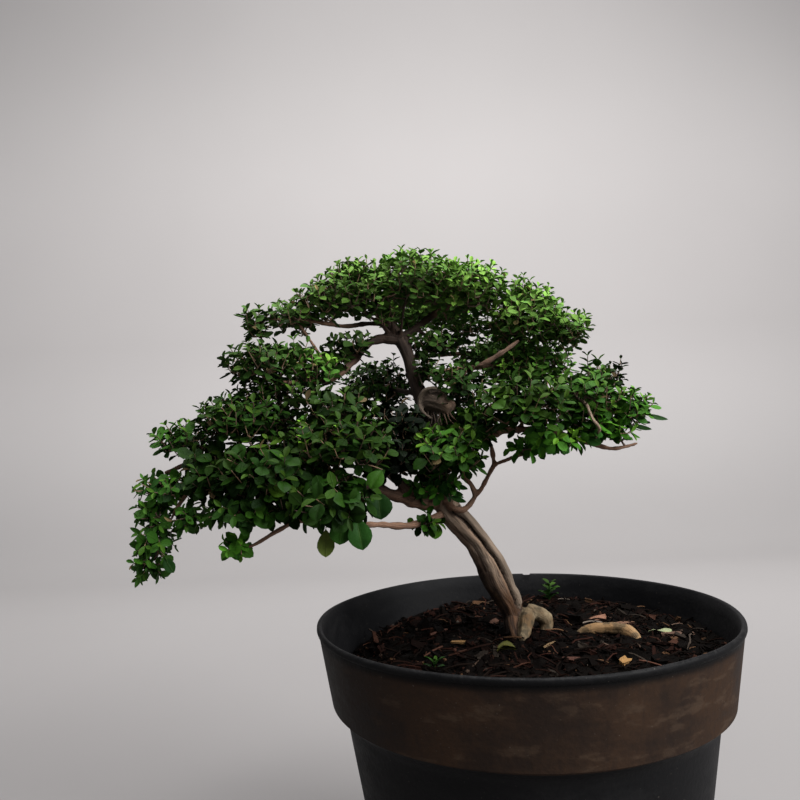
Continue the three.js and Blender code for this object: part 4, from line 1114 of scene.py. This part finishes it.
class BONSAI_OT_pot(bpy.types.Operator):
    """Turns the nursery pot with its collar, lip, drain holes and worn notch"""
    bl_idname = "bonsai.pot"
    bl_label = "Pot"

    def profile(self, pot):
        """Radius and height of each ring, from the underside up the wall, over the lip and down inside"""
        low = pot.height - pot.collar - pot.step
        bends = [low + pot.step * part / 6 for part in range(7)]
        heights = [0.0015, 0.03, 0.06, 0.09, 0.12, 0.135, *bends, 0.165, 0.180, 0.192, 0.1962]
        outer = [(outer_radius(pot, z), z) for z in heights]
        top = pot.rim
        lip = [
            (top + 0.0002, 0.1968), (top + 0.0005, 0.1977), (top + 0.0004, 0.1990), (top - 0.0001, 0.1997),
            (top - 0.0010, 0.2), (top - 0.0019, 0.1997), (top - 0.0025, 0.1990),
        ]
        depths = [0.192, 0.180, 0.168, *reversed(bends), 0.12, 0.06, POT_FLOOR]
        inner = [(outer_radius(pot, z) - pot.wall, z) for z in depths]
        return [(outer_radius(pot, 0) - 0.0012, 0), *outer, *lip, *inner]

    def cutter(self, pot):
        """The drain holes and the notch at the back of the rim, to be cut out of the pot"""
        holes = []
        for hole in range(DRAIN_HOLES):
            angle = 2 * math.pi / DRAIN_HOLES * (hole + 0.5)
            place = (DRAIN_RING * math.cos(angle), DRAIN_RING * math.sin(angle), POT_FLOOR / 2)
            bpy.ops.mesh.primitive_cylinder_add(vertices=28, radius=DRAIN_RADIUS, depth=0.012, location=place)
            holes.append(bpy.context.object)
        x, y = pot.rim * math.cos(NOTCH_ANGLE), pot.rim * math.sin(NOTCH_ANGLE)
        bpy.ops.mesh.primitive_cube_add(size=1, location=(0, 0, 0), enter_editmode=True)
        bpy.ops.transform.resize(value=NOTCH_SIZE)
        bpy.ops.transform.translate(value=(x, y, 0.2009))
        bpy.ops.mesh.bevel(offset=0.0011, segments=3)
        bpy.ops.transform.rotate(value=-NOTCH_ANGLE, orient_axis="Z", center_override=(x, y, 0.2))
        bpy.ops.object.mode_set(mode="OBJECT")
        holes.append(bpy.context.object)
        for hole in holes:
            alone(hole)
            bpy.ops.object.transform_apply()
        return joined(holes, "pot_cutter")

    def sagged(self, body):
        """Pushes the wall slightly out of round, most at the rim"""
        points = places(body)
        angle = np.arctan2(points[:, 1], points[:, 0])
        sag = 0.0005 * np.sin(3 * angle + 0.7) + 0.0003 * np.sin(7 * angle)
        rise = np.clip((points[:, 2] - 0.06) / 0.14, 0, 1) ** 2
        radius = np.hypot(points[:, 0], points[:, 1]) + 1e-9
        points[:, :2] *= (1 + sag * rise / radius)[:, None]
        put(body, points)

    def execute(self, context):
        pot = context.scene.bonsai_pot
        body = ringed("pot_shell", self.profile(pot), 160)
        cutter = self.cutter(pot)
        modified(body, "BOOLEAN", object=cutter, operation="DIFFERENCE", solver="EXACT")
        discard(cutter)
        self.sagged(body)
        rounded(body, 38)
        finished(body, "pot", ["pot"], pot_plastic(pot))
        return {"FINISHED"}


class BONSAI_OT_soil(bpy.types.Operator):
    """Fills the pot with bark mix: a rough body of soil, then crumbs, chips and fibres that lie on it"""
    bl_idname = "bonsai.soil"
    bl_label = "Soil"

    def chip_master(self, name, size, cuts, wild, seed):
        """A flat piece of bark one unit long, narrower at its ends"""
        bpy.ops.object.select_all(action="DESELECT")
        bpy.ops.mesh.primitive_cube_add(size=1, enter_editmode=True)
        chip = bpy.context.object
        bpy.ops.transform.resize(value=size)
        bpy.ops.mesh.subdivide(number_cuts=cuts)
        choose(chip, lambda co: abs(co.x) > 0.4 * size[0])
        bpy.ops.transform.resize(value=(1, 0.6, 0.55), center_override=(0, 0, 0))
        bpy.ops.mesh.select_all(action="SELECT")
        bpy.ops.transform.vertex_random(offset=wild, seed=seed)
        bpy.ops.object.mode_set(mode="OBJECT")
        chip.name = name
        painted(chip.data, "tint", (0, 0, 0, 1))
        rounded(chip, 30)
        return chip

    def crumb_master(self, seed):
        """A rough crumb one unit wide"""
        bpy.ops.object.select_all(action="DESELECT")
        bpy.ops.mesh.primitive_ico_sphere_add(subdivisions=1, radius=0.5, enter_editmode=True)
        crumb = bpy.context.object
        bpy.ops.transform.resize(value=(1, 0.8, 0.7))
        bpy.ops.transform.vertex_random(offset=0.16, seed=seed)
        bpy.ops.object.mode_set(mode="OBJECT")
        painted(crumb.data, "tint", (0, 0, 0, 1))
        return crumb

    def fibre_master(self, seed):
        """A thin bent fibre one unit long, extruded from a small square"""
        rng = random.Random(seed)
        bpy.ops.object.select_all(action="DESELECT")
        bpy.ops.mesh.primitive_circle_add(vertices=4, radius=0.03, fill_type="NGON", enter_editmode=True)
        fibre = bpy.context.object
        bpy.ops.transform.rotate(value=math.pi / 2, orient_axis="Y", center_override=(0, 0, 0))
        bpy.ops.transform.translate(value=(-0.5, 0, 0))
        for step in range(5):
            value = (0.2, rng.uniform(-0.07, 0.07), 0.05 - 0.025 * step)
            bpy.ops.mesh.extrude_edges_move(TRANSFORM_OT_translate={"value": value})
        bpy.ops.mesh.edge_face_add()
        bpy.ops.mesh.select_all(action="SELECT")
        bpy.ops.mesh.normals_make_consistent(inside=False)
        bpy.ops.object.mode_set(mode="OBJECT")
        painted(fibre.data, "tint", (0, 0, 0, 1))
        rounded(fibre, 60)
        return fibre

    def body(self, pot, soil, inset):
        """The soil itself: it fits the pot's inside, and its top is mounded and rough"""
        low = pot.height - pot.collar - pot.step
        heights = (SOIL_FLOOR, 0.07, low, low + 0.005, low + 0.01)
        wall = [(outer_radius(pot, z) - inset, z) for z in heights]
        edge = pot.rim - inset
        top, circles = 0.19, 62
        reach = [edge * (1 - part / circles) for part in range(circles)]
        rings = [*wall, *[(radius, top) for radius in reach], (0.0006, top)]
        body = ringed("soil_body", rings, 230)
        points = places(body)
        for point in points:
            if point[2] < top - 0.005:
                continue
            radius = math.hypot(point[0], point[1])
            height = lumpy(point[0], point[1])
            if radius > edge - 0.0005:
                height = ground(point[0], point[1])
                point[:2] *= (outer_radius(pot, height) - inset) / radius
            elif radius > edge - 0.006:
                point[:2] *= (outer_radius(pot, height) - inset - (edge - radius)) / radius
            point[2] = height
        put(body, points)
        painted(body.data, "tint", (*soil.soil, 1))
        rounded(body, 50)
        return body

    def execute(self, context):
        pot = context.scene.bonsai_pot
        soil = context.scene.bonsai_soil
        inset = pot.wall + SOIL_GAP
        parts = [self.body(pot, soil, inset)]
        rng = random.Random(17)
        weights = [weight for weight, _ in SOIL_TINTS]
        tints = [tint for _, tint in SOIL_TINTS]
        chips = [
            self.chip_master("flake", (1, 0.42, 0.13), 1, 0.08, 3),
            self.chip_master("block", (1, 0.5, 0.38), 1, 0.11, 5),
            self.chip_master("sliver", (1, 0.18, 0.10), 1, 0.05, 8),
            self.chip_master("splinter", (1, 0.12, 0.08), 1, 0.04, 2),
        ]
        crumbs = [self.crumb_master(4), self.crumb_master(9)]
        fibres = [self.fibre_master(seed) for seed in (1, 2, 3)]
        wood = np.concatenate([smooth_route(rows, 0.003) for rows in [TRUNK, FLARE, *ROOTS]])

        def free(x, y, size):
            """Whether something at this place is clear of the wood"""
            away = np.hypot(wood[:, 0] - x, wood[:, 1] - y)
            above = wood[:, 2] - ground(x, y)
            return not np.any((away < wood[:, 3] + 0.2 * size) & (abs(above) < wood[:, 3] + 0.001))

        def scatter(count, masters, sizes, tilt, sink, light=1.0):
            """Strews copies of the masters over the soil, turned and tilted at random"""
            for _ in range(count):
                angle, away = rng.uniform(0, 2 * math.pi), 0.1175 * math.sqrt(rng.random())
                x, y = away * math.cos(angle), away * math.sin(angle)
                size = rng.uniform(*sizes) if rng.random() < 0.8 else rng.uniform(*sizes) * 1.25
                limit = outer_radius(pot, ground(x, y)) - inset - 0.45 * size
                if away > limit or not free(x, y, size):
                    continue
                master = rng.choice(masters)
                turn = Matrix.Rotation(rng.uniform(0, 2 * math.pi), 4, "Z")
                roll = Matrix.Rotation(rng.gauss(0, tilt), 4, "X")
                lean = roll @ Matrix.Rotation(rng.gauss(0, tilt), 4, "Y")
                height = lumpy(x, y) + sink * size
                matrix = Matrix.Translation((x, y, height)) @ turn @ lean @ Matrix.Scale(size, 4)
                tint = rng.choices(tints, weights)[0]
                shade = rng.uniform(0.6, 1.35) * light
                parts.append(copy_of(master, matrix, (*[part * shade for part in tint], 1)))

        scatter(soil.crumbs, crumbs, (0.0012, 0.0040), 1.5, 0.05)
        scatter(soil.chips, chips, (0.0025, 0.0085), 0.45, 0.06)
        scatter(soil.chips // 12, chips[:3], (0.010, 0.015), 0.3, 0.05)
        scatter(soil.fibres, fibres, (0.005, 0.018), 0.3, 0.07, 2.2)
        for kind, (x, y), size, turn, tint in STRAY_CHIPS:
            place = (x * MM, y * MM, lumpy(x * MM, y * MM) + 0.12 * size)
            matrix = Matrix.Translation(place) @ Matrix.Rotation(turn, 4, "Z") @ Matrix.Rotation(0.2, 4, "X")
            parts.append(copy_of(chips[kind], matrix @ Matrix.Scale(size, 4), (*tint, 1)))
        whole = joined(parts, "soil_mix")
        discard(*chips, *crumbs, *fibres)
        finished(whole, "soil", ["soil"], soil_mix())
        return {"FINISHED"}


class BONSAI_OT_wood(bpy.types.Operator):
    """Grows trunk, live strip, roots, limbs and the pruned stub into one barked body"""
    bl_idname = "bonsai.wood"
    bl_label = "Trunk, roots and limbs"

    def grown(self, rng):
        """The kind and the route of every part of the wood, with its knots"""
        kinds, routes = [], []

        def add(kind, rows, knots):
            route = smooth_route(rows, 0.0025)
            phase = rng.uniform(0, 6)
            for i, row in enumerate(route):
                ripple = noise.noise((i * 0.55 + 10 * phase, phase, 0)) * knots
                row[3] *= 1 + ripple
                row[:3] += Vector(noise.noise_vector((i * 0.3, phase * 7, 2))) * row[3] * 0.5 * knots
            kinds.append(kind)
            routes.append(route)

        add("trunk", TRUNK, 0.06)
        add("trunk", FLARE, 0.12)
        add("strip", STRIP, 0.08)
        add("stub", STUB, 0.12)
        add("callus", CALLUS, 0.1)
        add("strand", GREY_STRAND, 0.1)
        for rows in ROOTS:
            add("root", rows, 0.14)
        for name, ((thick, thin), route) in LIMBS.items():
            last = len(route) - 1
            rows = [(*point, thick + (thin - thick) * i / last) for i, point in enumerate(route)]
            kind = name.split("_")[0]
            add(kind if kind in ("bare", "brown") else "limb", rows, 0.4)
        return kinds, routes

    def tones(self, points, normals, kind, away):
        """How rooty each point is, how much painted shade it takes, how much darker limb tone, how pale its
        wear and painted highlight make it, and how deep it lies in the split
        """
        front = (normals[:, 1] < 0.2) & (points[:, 1] < 0.022)
        width = 0.0008 + 0.0005 * np.clip((points[:, 2] - 0.215) / 0.03, 0, 1)
        crack = np.where(front, np.clip(1 - away / width, 0, 1), 0)
        rooty = (kind == "root").astype(float)
        brown = ((kind == "limb") | (kind == "brown")).astype(float)
        trunk = (kind == "trunk") | (kind == "strip")
        # Painted shade: the trunk above 0.262 m takes part of the darker limb tone, for the shade under the
        # crown
        rise = np.clip((points[:, 2] - 0.262) / 0.03, 0, 1)
        brown[trunk] = 0.55 * rise[trunk]
        brown[kind == "stub"] = 0.6
        # Pale band along the ridges beside the split, on the trunk's front: partly the wood's own wear,
        # partly painted highlight on the ridge crests
        wear_and_sheen = np.exp(-((away - 0.0042) / 0.0024) ** 2) * 0.75 * (front & (kind == "trunk"))
        wear_and_sheen *= np.clip((points[:, 2] - 0.205) / 0.02, 0, 1)
        for name, amount in WORN.items():
            wear_and_sheen[kind == name] = amount
        # Painted shade: the trunk's left side and underside, turned away from the key light, are darkened
        under = np.clip(0.15 - 0.8 * normals[:, 0] - 0.45 * normals[:, 2], 0, 1) * 0.5 * (kind == "trunk")
        # The split and the brown limb under the crown take painted shade too, the limb at half strength
        dark = np.maximum(np.maximum(np.clip(crack * 1.9 - 0.5, 0, 1), under), 0.5 * (kind == "brown"))
        return np.column_stack([rooty, dark, brown, wear_and_sheen]), crack

    def barked(self, body, kinds, routes, ridge):
        """Raises ridges along the grain, sinks the split and marks grain and tones on the wood"""
        points = places(body).astype(float)
        lines = np.concatenate(routes)
        part = np.concatenate([[index] * len(route) for index, route in enumerate(routes)])
        travel, heads = [], []
        for route in routes:
            ahead = np.gradient(route[:, :3], axis=0)
            heads.append(ahead / np.linalg.norm(ahead, axis=1)[:, None])
            steps = np.linalg.norm(np.diff(route[:, :3], axis=0), axis=1)
            travel.append(np.concatenate([[0], np.cumsum(steps)]))
        heads, travel = np.concatenate(heads), np.concatenate(travel)
        near = np.zeros(len(points), int)
        for start in range(0, len(points), 4000):
            group = points[start:start + 4000]
            gap = np.linalg.norm(group[:, None, :] - lines[None, :, :3], axis=2) / (lines[:, 3] + 0.001)
            near[start:start + 4000] = np.argmin(gap, axis=1)
        offset = points - lines[near, :3]
        slide = np.sum(offset * heads[near], axis=1)
        around = offset - heads[near] * slide[:, None]
        outward = around / (np.linalg.norm(around, axis=1)[:, None] + 1e-9)
        distance = travel[near] + slide + part[near] * 0.37
        radius = lines[near, 3]
        ring = outward * (radius[:, None] / 0.0038 + 0.5)
        twisted = [ring[:, 0] + ring[:, 1] * 0.37, ring[:, 2] - ring[:, 1] * 0.61]
        grain = np.column_stack([*twisted, distance / 0.024])

        normals = np.zeros(3 * len(points), np.float32)
        body.data.vertices.foreach_get("normal", normals)
        normals = normals.reshape(-1, 3)
        split = smooth_route([(*row, 1) for row in SPLIT], 0.0006)[:, :3]
        gap = points[:, None, [0, 2]] - split[None, :, [0, 2]]
        away = np.min(np.hypot(gap[:, :, 0], gap[:, :, 1]), axis=1)
        kind = np.array(kinds)[part][near]
        tones, crack = self.tones(points, normals, kind, away)

        height = np.array([
            noise.noise(row) + 0.45 * noise.noise((row[0] * 2.6, row[1] * 2.6, row[2] * 1.6)) for row in grain
        ])
        lump = np.array([noise.noise(row * 190) for row in points]) * (kind == "root")
        lift = np.clip(radius / 0.008, 0.12, 1) * ridge * height - crack * SPLIT_DEPTH + 0.0004 * lump
        put(body, points + normals * lift[:, None])
        layer = body.data.attributes.new("grain", "FLOAT_VECTOR", "POINT")
        layer.data.foreach_set("vector", grain.astype(np.float32).ravel())
        layer = body.data.attributes.new("tone", "FLOAT_COLOR", "POINT")
        layer.data.foreach_set("color", tones.astype(np.float32).ravel())

    def torn_fibres(self, rng):
        """The torn fibres that hang under the stub"""
        routes = []
        for start, end in TORN:
            start, end = Vector(start) * MM, Vector(end) * MM
            sway = Vector((rng.uniform(-1, 1), rng.uniform(-1, 1), 0)) * 0.0012
            routes.append([(*start, 0.0005), (*((start + end) / 2 + sway), 0.00038), (*end, 0.00016)])
        fibres = tubes("torn", routes, 1)
        painted(fibres.data, "tone", (0, 0, 1, 0.15))
        return fibres

    def execute(self, context):
        wood = context.scene.bonsai_wood
        rng = random.Random(23)
        noise.seed_set(23)
        kinds, routes = self.grown(rng)
        body = tubes("tree_wood_shape", routes, 4)
        modified(body, "REMESH", mode="VOXEL", voxel_size=wood.voxel)
        modified(body, "SMOOTH", iterations=3, factor=0.5)
        self.barked(body, kinds, routes, wood.ridge)
        body = joined([body, self.torn_fibres(rng)], "tree_wood_bark")
        alone(body)
        bpy.ops.object.shade_smooth()
        finished(body, "wood", ["tree_wood"], bark(wood))
        return {"FINISHED"}


class BONSAI_OT_sprays(bpy.types.Operator):
    """Fills each pad with shoots of paired leaves on a net of twigs that starts at its limb"""
    bl_idname = "bonsai.sprays"
    bl_label = "Leaf sprays"

    def masters(self):
        """One leaf shape or more of each kind"""
        return {
            "tip": [leaf_master("leaf_tip", 4, 2, 0.50, 0.55, 0.45, 0.06)],
            "grown": [
                leaf_master("leaf_oval", 5, 2, 0.60, 0.54, 0.22, -0.05),
                leaf_master("leaf_spoon", 5, 2, 0.66, 0.62, 0.30, 0.07),
                leaf_master("leaf_round", 5, 2, 0.74, 0.58, 0.12, -0.03),
                leaf_master("leaf_bent", 5, 2, 0.62, 0.58, 0.28, -0.12),
            ],
            "small": [
                leaf_master("leaf_small", 4, 2, 0.72, 0.60, 0.22, -0.04),
                leaf_master("leaf_little", 4, 2, 0.66, 0.56, 0.30, 0.06),
            ],
            "big": [
                leaf_master("leaf_large", 8, 4, 0.72, 0.60, 0.16, -0.06, 0.04),
                leaf_master("leaf_broad", 8, 4, 0.80, 0.58, 0.22, 0.08, 0.05),
            ],
            "narrow": [leaf_master("leaf_narrow", 6, 2, 0.36, 0.5, 0.3, -0.10)],
        }

    def shoots(self, rng, centre, half, spacing, hang):
        """Foot, axis, length, brightness and outward direction of each shoot of a lobe"""
        faces = ((half.x * half.y) ** 1.6 + (half.x * half.z) ** 1.6 + (half.y * half.z) ** 1.6) / 3
        area = 4 * math.pi * faces ** 0.625
        wanted = max(4, round(0.74 * area / spacing ** 2))
        tips = []
        for _ in range(60 * wanted):
            if len(tips) >= wanted:
                break
            height = rng.uniform(-0.72, 1)
            angle = rng.uniform(0, 2 * math.pi)
            level = math.sqrt(1 - height * height)
            ball = Vector((level * math.cos(angle), level * math.sin(angle), height))
            depth = 0.93 - 0.62 * rng.random() ** 1.9
            tip = centre + Vector(a * b for a, b in zip(ball, half)) * depth
            if any((tip - other[0]).length < spacing for other in tips):
                continue
            tips.append((tip, ball, depth))
        found = []
        for tip, ball, depth in tips:
            axis = Vector((ball.x, ball.y, ball.z * 0.6)) * 0.7 + UP * (0.25 + 0.65 * hang)
            axis += Vector((rng.uniform(-1, 1), rng.uniform(-1, 1), rng.uniform(-0.5, 0.5))) * 0.34
            axis.normalize()
            length = rng.uniform(0.75, 1.5) * spacing
            inner = min(1, max(0, (depth - 0.4) / 0.45))
            shade = (0.6 + 0.45 * inner) * (0.85 + 0.25 * max(-0.8, ball.z))
            found.append((tip - axis * length, axis, length, shade, ball))
        return found

    def plans(self, rng, name, leaves):
        """All shoots of a pad: foot, axis, length, pairs, leaf length, freshness, brightness and outside"""
        size, hang, dark, _, painted_light = HABITS[name]
        shoots = []
        for place, spread in LOBES.get(name, [PADS[name]]):
            spacing = leaves.spacing * (0.45 + 0.55 * size)
            shoots += self.shoots(rng, Vector(place) * MM, Vector(spread) * MM, spacing, hang)
        plans = []
        for foot, axis, length, shade, ball in shoots:
            fresh = rng.random() < 0.16 * (1.3 - dark) * max(0, 0.4 + ball.z)
            pairs = rng.choice((3, 3, 3, 4) if size < 0.9 else (2, 3, 3, 4))
            plans.append((foot, axis, length, pairs, leaves.length * size, fresh, shade * painted_light, ball))
        for pad, low, high, pairs, long, lime in SPRIGS:
            if pad == name:
                foot, tip = Vector(low) * MM, Vector(high) * MM
                axis = (tip - foot).normalized()
                light = max(painted_light, 0.5 * lime) * (1 + lime)
                plans.append((foot, axis, (tip - foot).length, pairs, long * MM, lime, light, axis))
        return plans

    def twigs(self, rng, feet, centre, half):
        """Routes of twigs that join every foot to the nearest limb or to a twig already there"""
        spots, nearest = [], []
        for (_, thin), route in LIMBS.values():
            for row in smooth_route([(*point, thin) for point in route], 0.004):
                place = Vector(row[:3])
                inside = place - centre
                nearest.append((inside.length, place))
                if sum((a / (b + 0.004)) ** 2 for a, b in zip(inside, half)) < 1:
                    spots.append((place, 0.0008))
        if not spots:
            spots.append((min(nearest, key=lambda pair: pair[0])[1], 0.0009))
        routes = []
        waiting = sorted(feet, key=lambda foot: min((foot - spot).length for spot, _ in spots))
        for foot in waiting:
            start, thick = min(spots, key=lambda spot: (foot - spot[0]).length)
            gap = foot - start
            sway = (rng.uniform(-1, 1), rng.uniform(-1, 1), rng.uniform(-1.2, 0.4))
            bend = Vector(sway) * gap.length * 0.12
            thin = max(0.00034, thick * 0.74)
            one, two = start + gap * 0.35 + bend, start + gap * 0.7 + bend * 0.7
            routes.append([(*start, thick), (*one, thick * 0.9), (*two, thin), (*foot, thin)])
            spots += [(one, thick * 0.85), (two, thin), (foot, thin)]
        return routes

    def foliage(self, rng, name, plans, masters):
        """Copies of the leaf shapes along every planned shoot of a pad"""
        _, hang, dark, slim, _ = HABITS[name]
        parts = []
        for foot, axis, length, pairs, long, fresh, shade, ball in plans:
            grown = shoot_leaves(rng, foot, axis, length, pairs, long, hang, dark, fresh, shade, ball)
            for level, (matrix, tint, span) in enumerate(grown):
                kind = "tip" if level >= 2 * pairs - 2 and pairs > 2 else "grown"
                if rng.random() < slim:
                    kind = "narrow"
                elif kind == "grown" and span < 0.0075:
                    kind = "small"
                elif kind == "grown" and span > 0.0098 and ball.y < 0.2:
                    kind = "big"
                parts.append(copy_of(rng.choice(masters[kind]), matrix, tint))
        return parts

    def execute(self, context):
        leaves = context.scene.bonsai_leaves
        masters = self.masters()
        skin = leaf_skin(leaves)
        stalk = twig_bark(context.scene.bonsai_wood)
        for index, (name, (middle, reach)) in enumerate(PADS.items()):
            rng = random.Random(500 + index)
            plans = self.plans(rng, name, leaves)
            singles = [row for row in SINGLES if row[0] == name]
            feet = [plan[0] for plan in plans] + [Vector(row[2]) * MM for row in singles]
            routes = self.twigs(rng, feet, Vector(middle) * MM, Vector(reach) * MM)
            routes += [[(*foot, 0.00036), (*(foot + axis * length), 0.00024)]
                       for foot, axis, length, *_ in plans]
            parts = self.foliage(rng, name, plans, masters)
            painted_light = HABITS[name][4]
            for _, kind, foot, tip, width, (age, bright, dry) in singles:
                foot, tip = Vector(foot) * MM, Vector(tip) * MM
                along = tip - foot
                master = masters[kind][len(parts) % len(masters[kind])]
                natural = 0.36 if kind == "narrow" else 0.76
                matrix = blade_place(foot, along, TO_VIEWER, along.length, width * MM / natural)
                parts.append(copy_of(master, matrix, (age, bright * (0.3 + 0.6 * painted_light), dry, 1)))
            whole = joined(parts, "spray_" + name)
            whole.data.materials.clear()
            whole.data.materials.append(skin)
            twigs = tubes("twigs", routes, 0)
            painted(twigs.data, "tint", (0.5, 0.5, 0, 1))
            twigs.data.materials.append(stalk)
            alone(twigs)
            bpy.ops.object.shade_smooth()
            whole = joined([whole, twigs], "spray_" + name)
            finished(whole, "leaf", ["leaf_" + name])
        for group in masters.values():
            discard(*group)
        return {"FINISHED"}


class BONSAI_OT_little_plants(bpy.types.Operator):
    """Raises the weed at the back of the pot and the sprout at the front left"""
    bl_idname = "bonsai.little_plants"
    bl_label = "Weed and sprout"

    def execute(self, context):
        leaves = context.scene.bonsai_leaves
        skin = leaf_skin(leaves)
        skin.name = "weed_skin"
        masters = [leaf_master("weed_leaf", 6, 2, 0.55, 0.5, 0.3, 0.08, 0.15)]
        for name, (x, y), tall, pairs, size, seed, dark in SMALL_PLANTS:
            rng = random.Random(seed)
            foot = Vector((x * MM, y * MM, ground(x * MM, y * MM)))
            axis = Vector((0.06, 0.02, 1)).normalized()
            found = shoot_leaves(rng, foot, axis, tall, pairs, size, 0.8, dark, False, 0.2)
            parts = [copy_of(masters[0], matrix, tint) for matrix, tint, _ in found]
            whole = joined(parts, name + "_plant")
            low, middle, tip = foot - axis * 0.006, foot + axis * tall * 0.5, foot + axis * tall
            stem = tubes("stem", [[(*low, 0.0007), (*middle, 0.0006), (*tip, 0.0004)]], 2)
            painted(stem.data, "tint", (0.8, 0.08, 0, 1))
            alone(stem)
            bpy.ops.object.shade_smooth()
            whole = joined([whole, stem], name + "_plant")
            finished(whole, "weed", [name], skin)
        discard(*masters)
        return {"FINISHED"}


class BONSAI_OT_litter(bpy.types.Operator):
    """Lays the two fallen leaves on the soil"""
    bl_idname = "bonsai.litter"
    bl_label = "Fallen leaves"

    def execute(self, context):
        skin = litter_skin()
        for name, (x, y), length, width, turn, tint, fold, arch in FALLEN_LEAVES:
            master = leaf_master(name + "_shape", 8, 4, 1.0, 0.5, fold * width / length, arch, 0.12)
            along = Vector((math.cos(turn), math.sin(turn), 0.05))
            foot = Vector((x * MM, y * MM, ground(x * MM, y * MM) + 0.0011)) - along * length / 2
            leaf = copy_of(master, blade_place(foot, along, UP, length, width), (*tint, 1))
            whole = joined([leaf], name + "_curled")
            discard(master)
            finished(whole, "dry_leaf", [name], skin)
        return {"FINISHED"}


class BONSAI_PT_parts(bpy.types.Panel):
    """Lists the pieces of the bonsai and their settings"""
    bl_label = "Premna Bonsai"
    bl_idname = "BONSAI_PT_parts"
    bl_space_type = "VIEW_3D"
    bl_region_type = "UI"
    bl_category = "Bonsai"

    def draw(self, context):
        for operator, group in STEPS:
            box = self.layout.box()
            box.operator(operator.bl_idname, text=operator.bl_label)
            if group:
                settings = getattr(context.scene, group)
                for key in settings.__annotations__:
                    box.prop(settings, key)


GROUPS = {
    "bonsai_pot": BonsaiPotSettings, "bonsai_soil": BonsaiSoilSettings, "bonsai_wood": BonsaiWoodSettings,
    "bonsai_leaves": BonsaiLeafSettings, "bonsai_stage": BonsaiStageSettings,
}
STEPS = [
    (BONSAI_OT_stage, "bonsai_stage"), (BONSAI_OT_pot, "bonsai_pot"), (BONSAI_OT_soil, "bonsai_soil"),
    (BONSAI_OT_wood, "bonsai_wood"), (BONSAI_OT_sprays, "bonsai_leaves"), (BONSAI_OT_little_plants, None),
    (BONSAI_OT_litter, None),
]


def register():
    for settings in GROUPS.values():
        bpy.utils.register_class(settings)
    for operator, _ in STEPS:
        bpy.utils.register_class(operator)
    bpy.utils.register_class(BONSAI_PT_parts)
    for key, settings in GROUPS.items():
        setattr(bpy.types.Scene, key, PointerProperty(type=settings))


def unregister():
    for key in GROUPS:
        delattr(bpy.types.Scene, key)
    bpy.utils.unregister_class(BONSAI_PT_parts)
    for operator, _ in reversed(STEPS):
        bpy.utils.unregister_class(operator)
    for settings in GROUPS.values():
        bpy.utils.unregister_class(settings)


def main():
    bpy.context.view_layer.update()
    register()
    bpy.ops.bonsai.stage()
    bpy.ops.bonsai.pot()
    bpy.ops.bonsai.soil()
    bpy.ops.bonsai.wood()
    bpy.ops.bonsai.sprays()
    bpy.ops.bonsai.little_plants()
    bpy.ops.bonsai.litter()


if __name__ == "__main__":
    main()
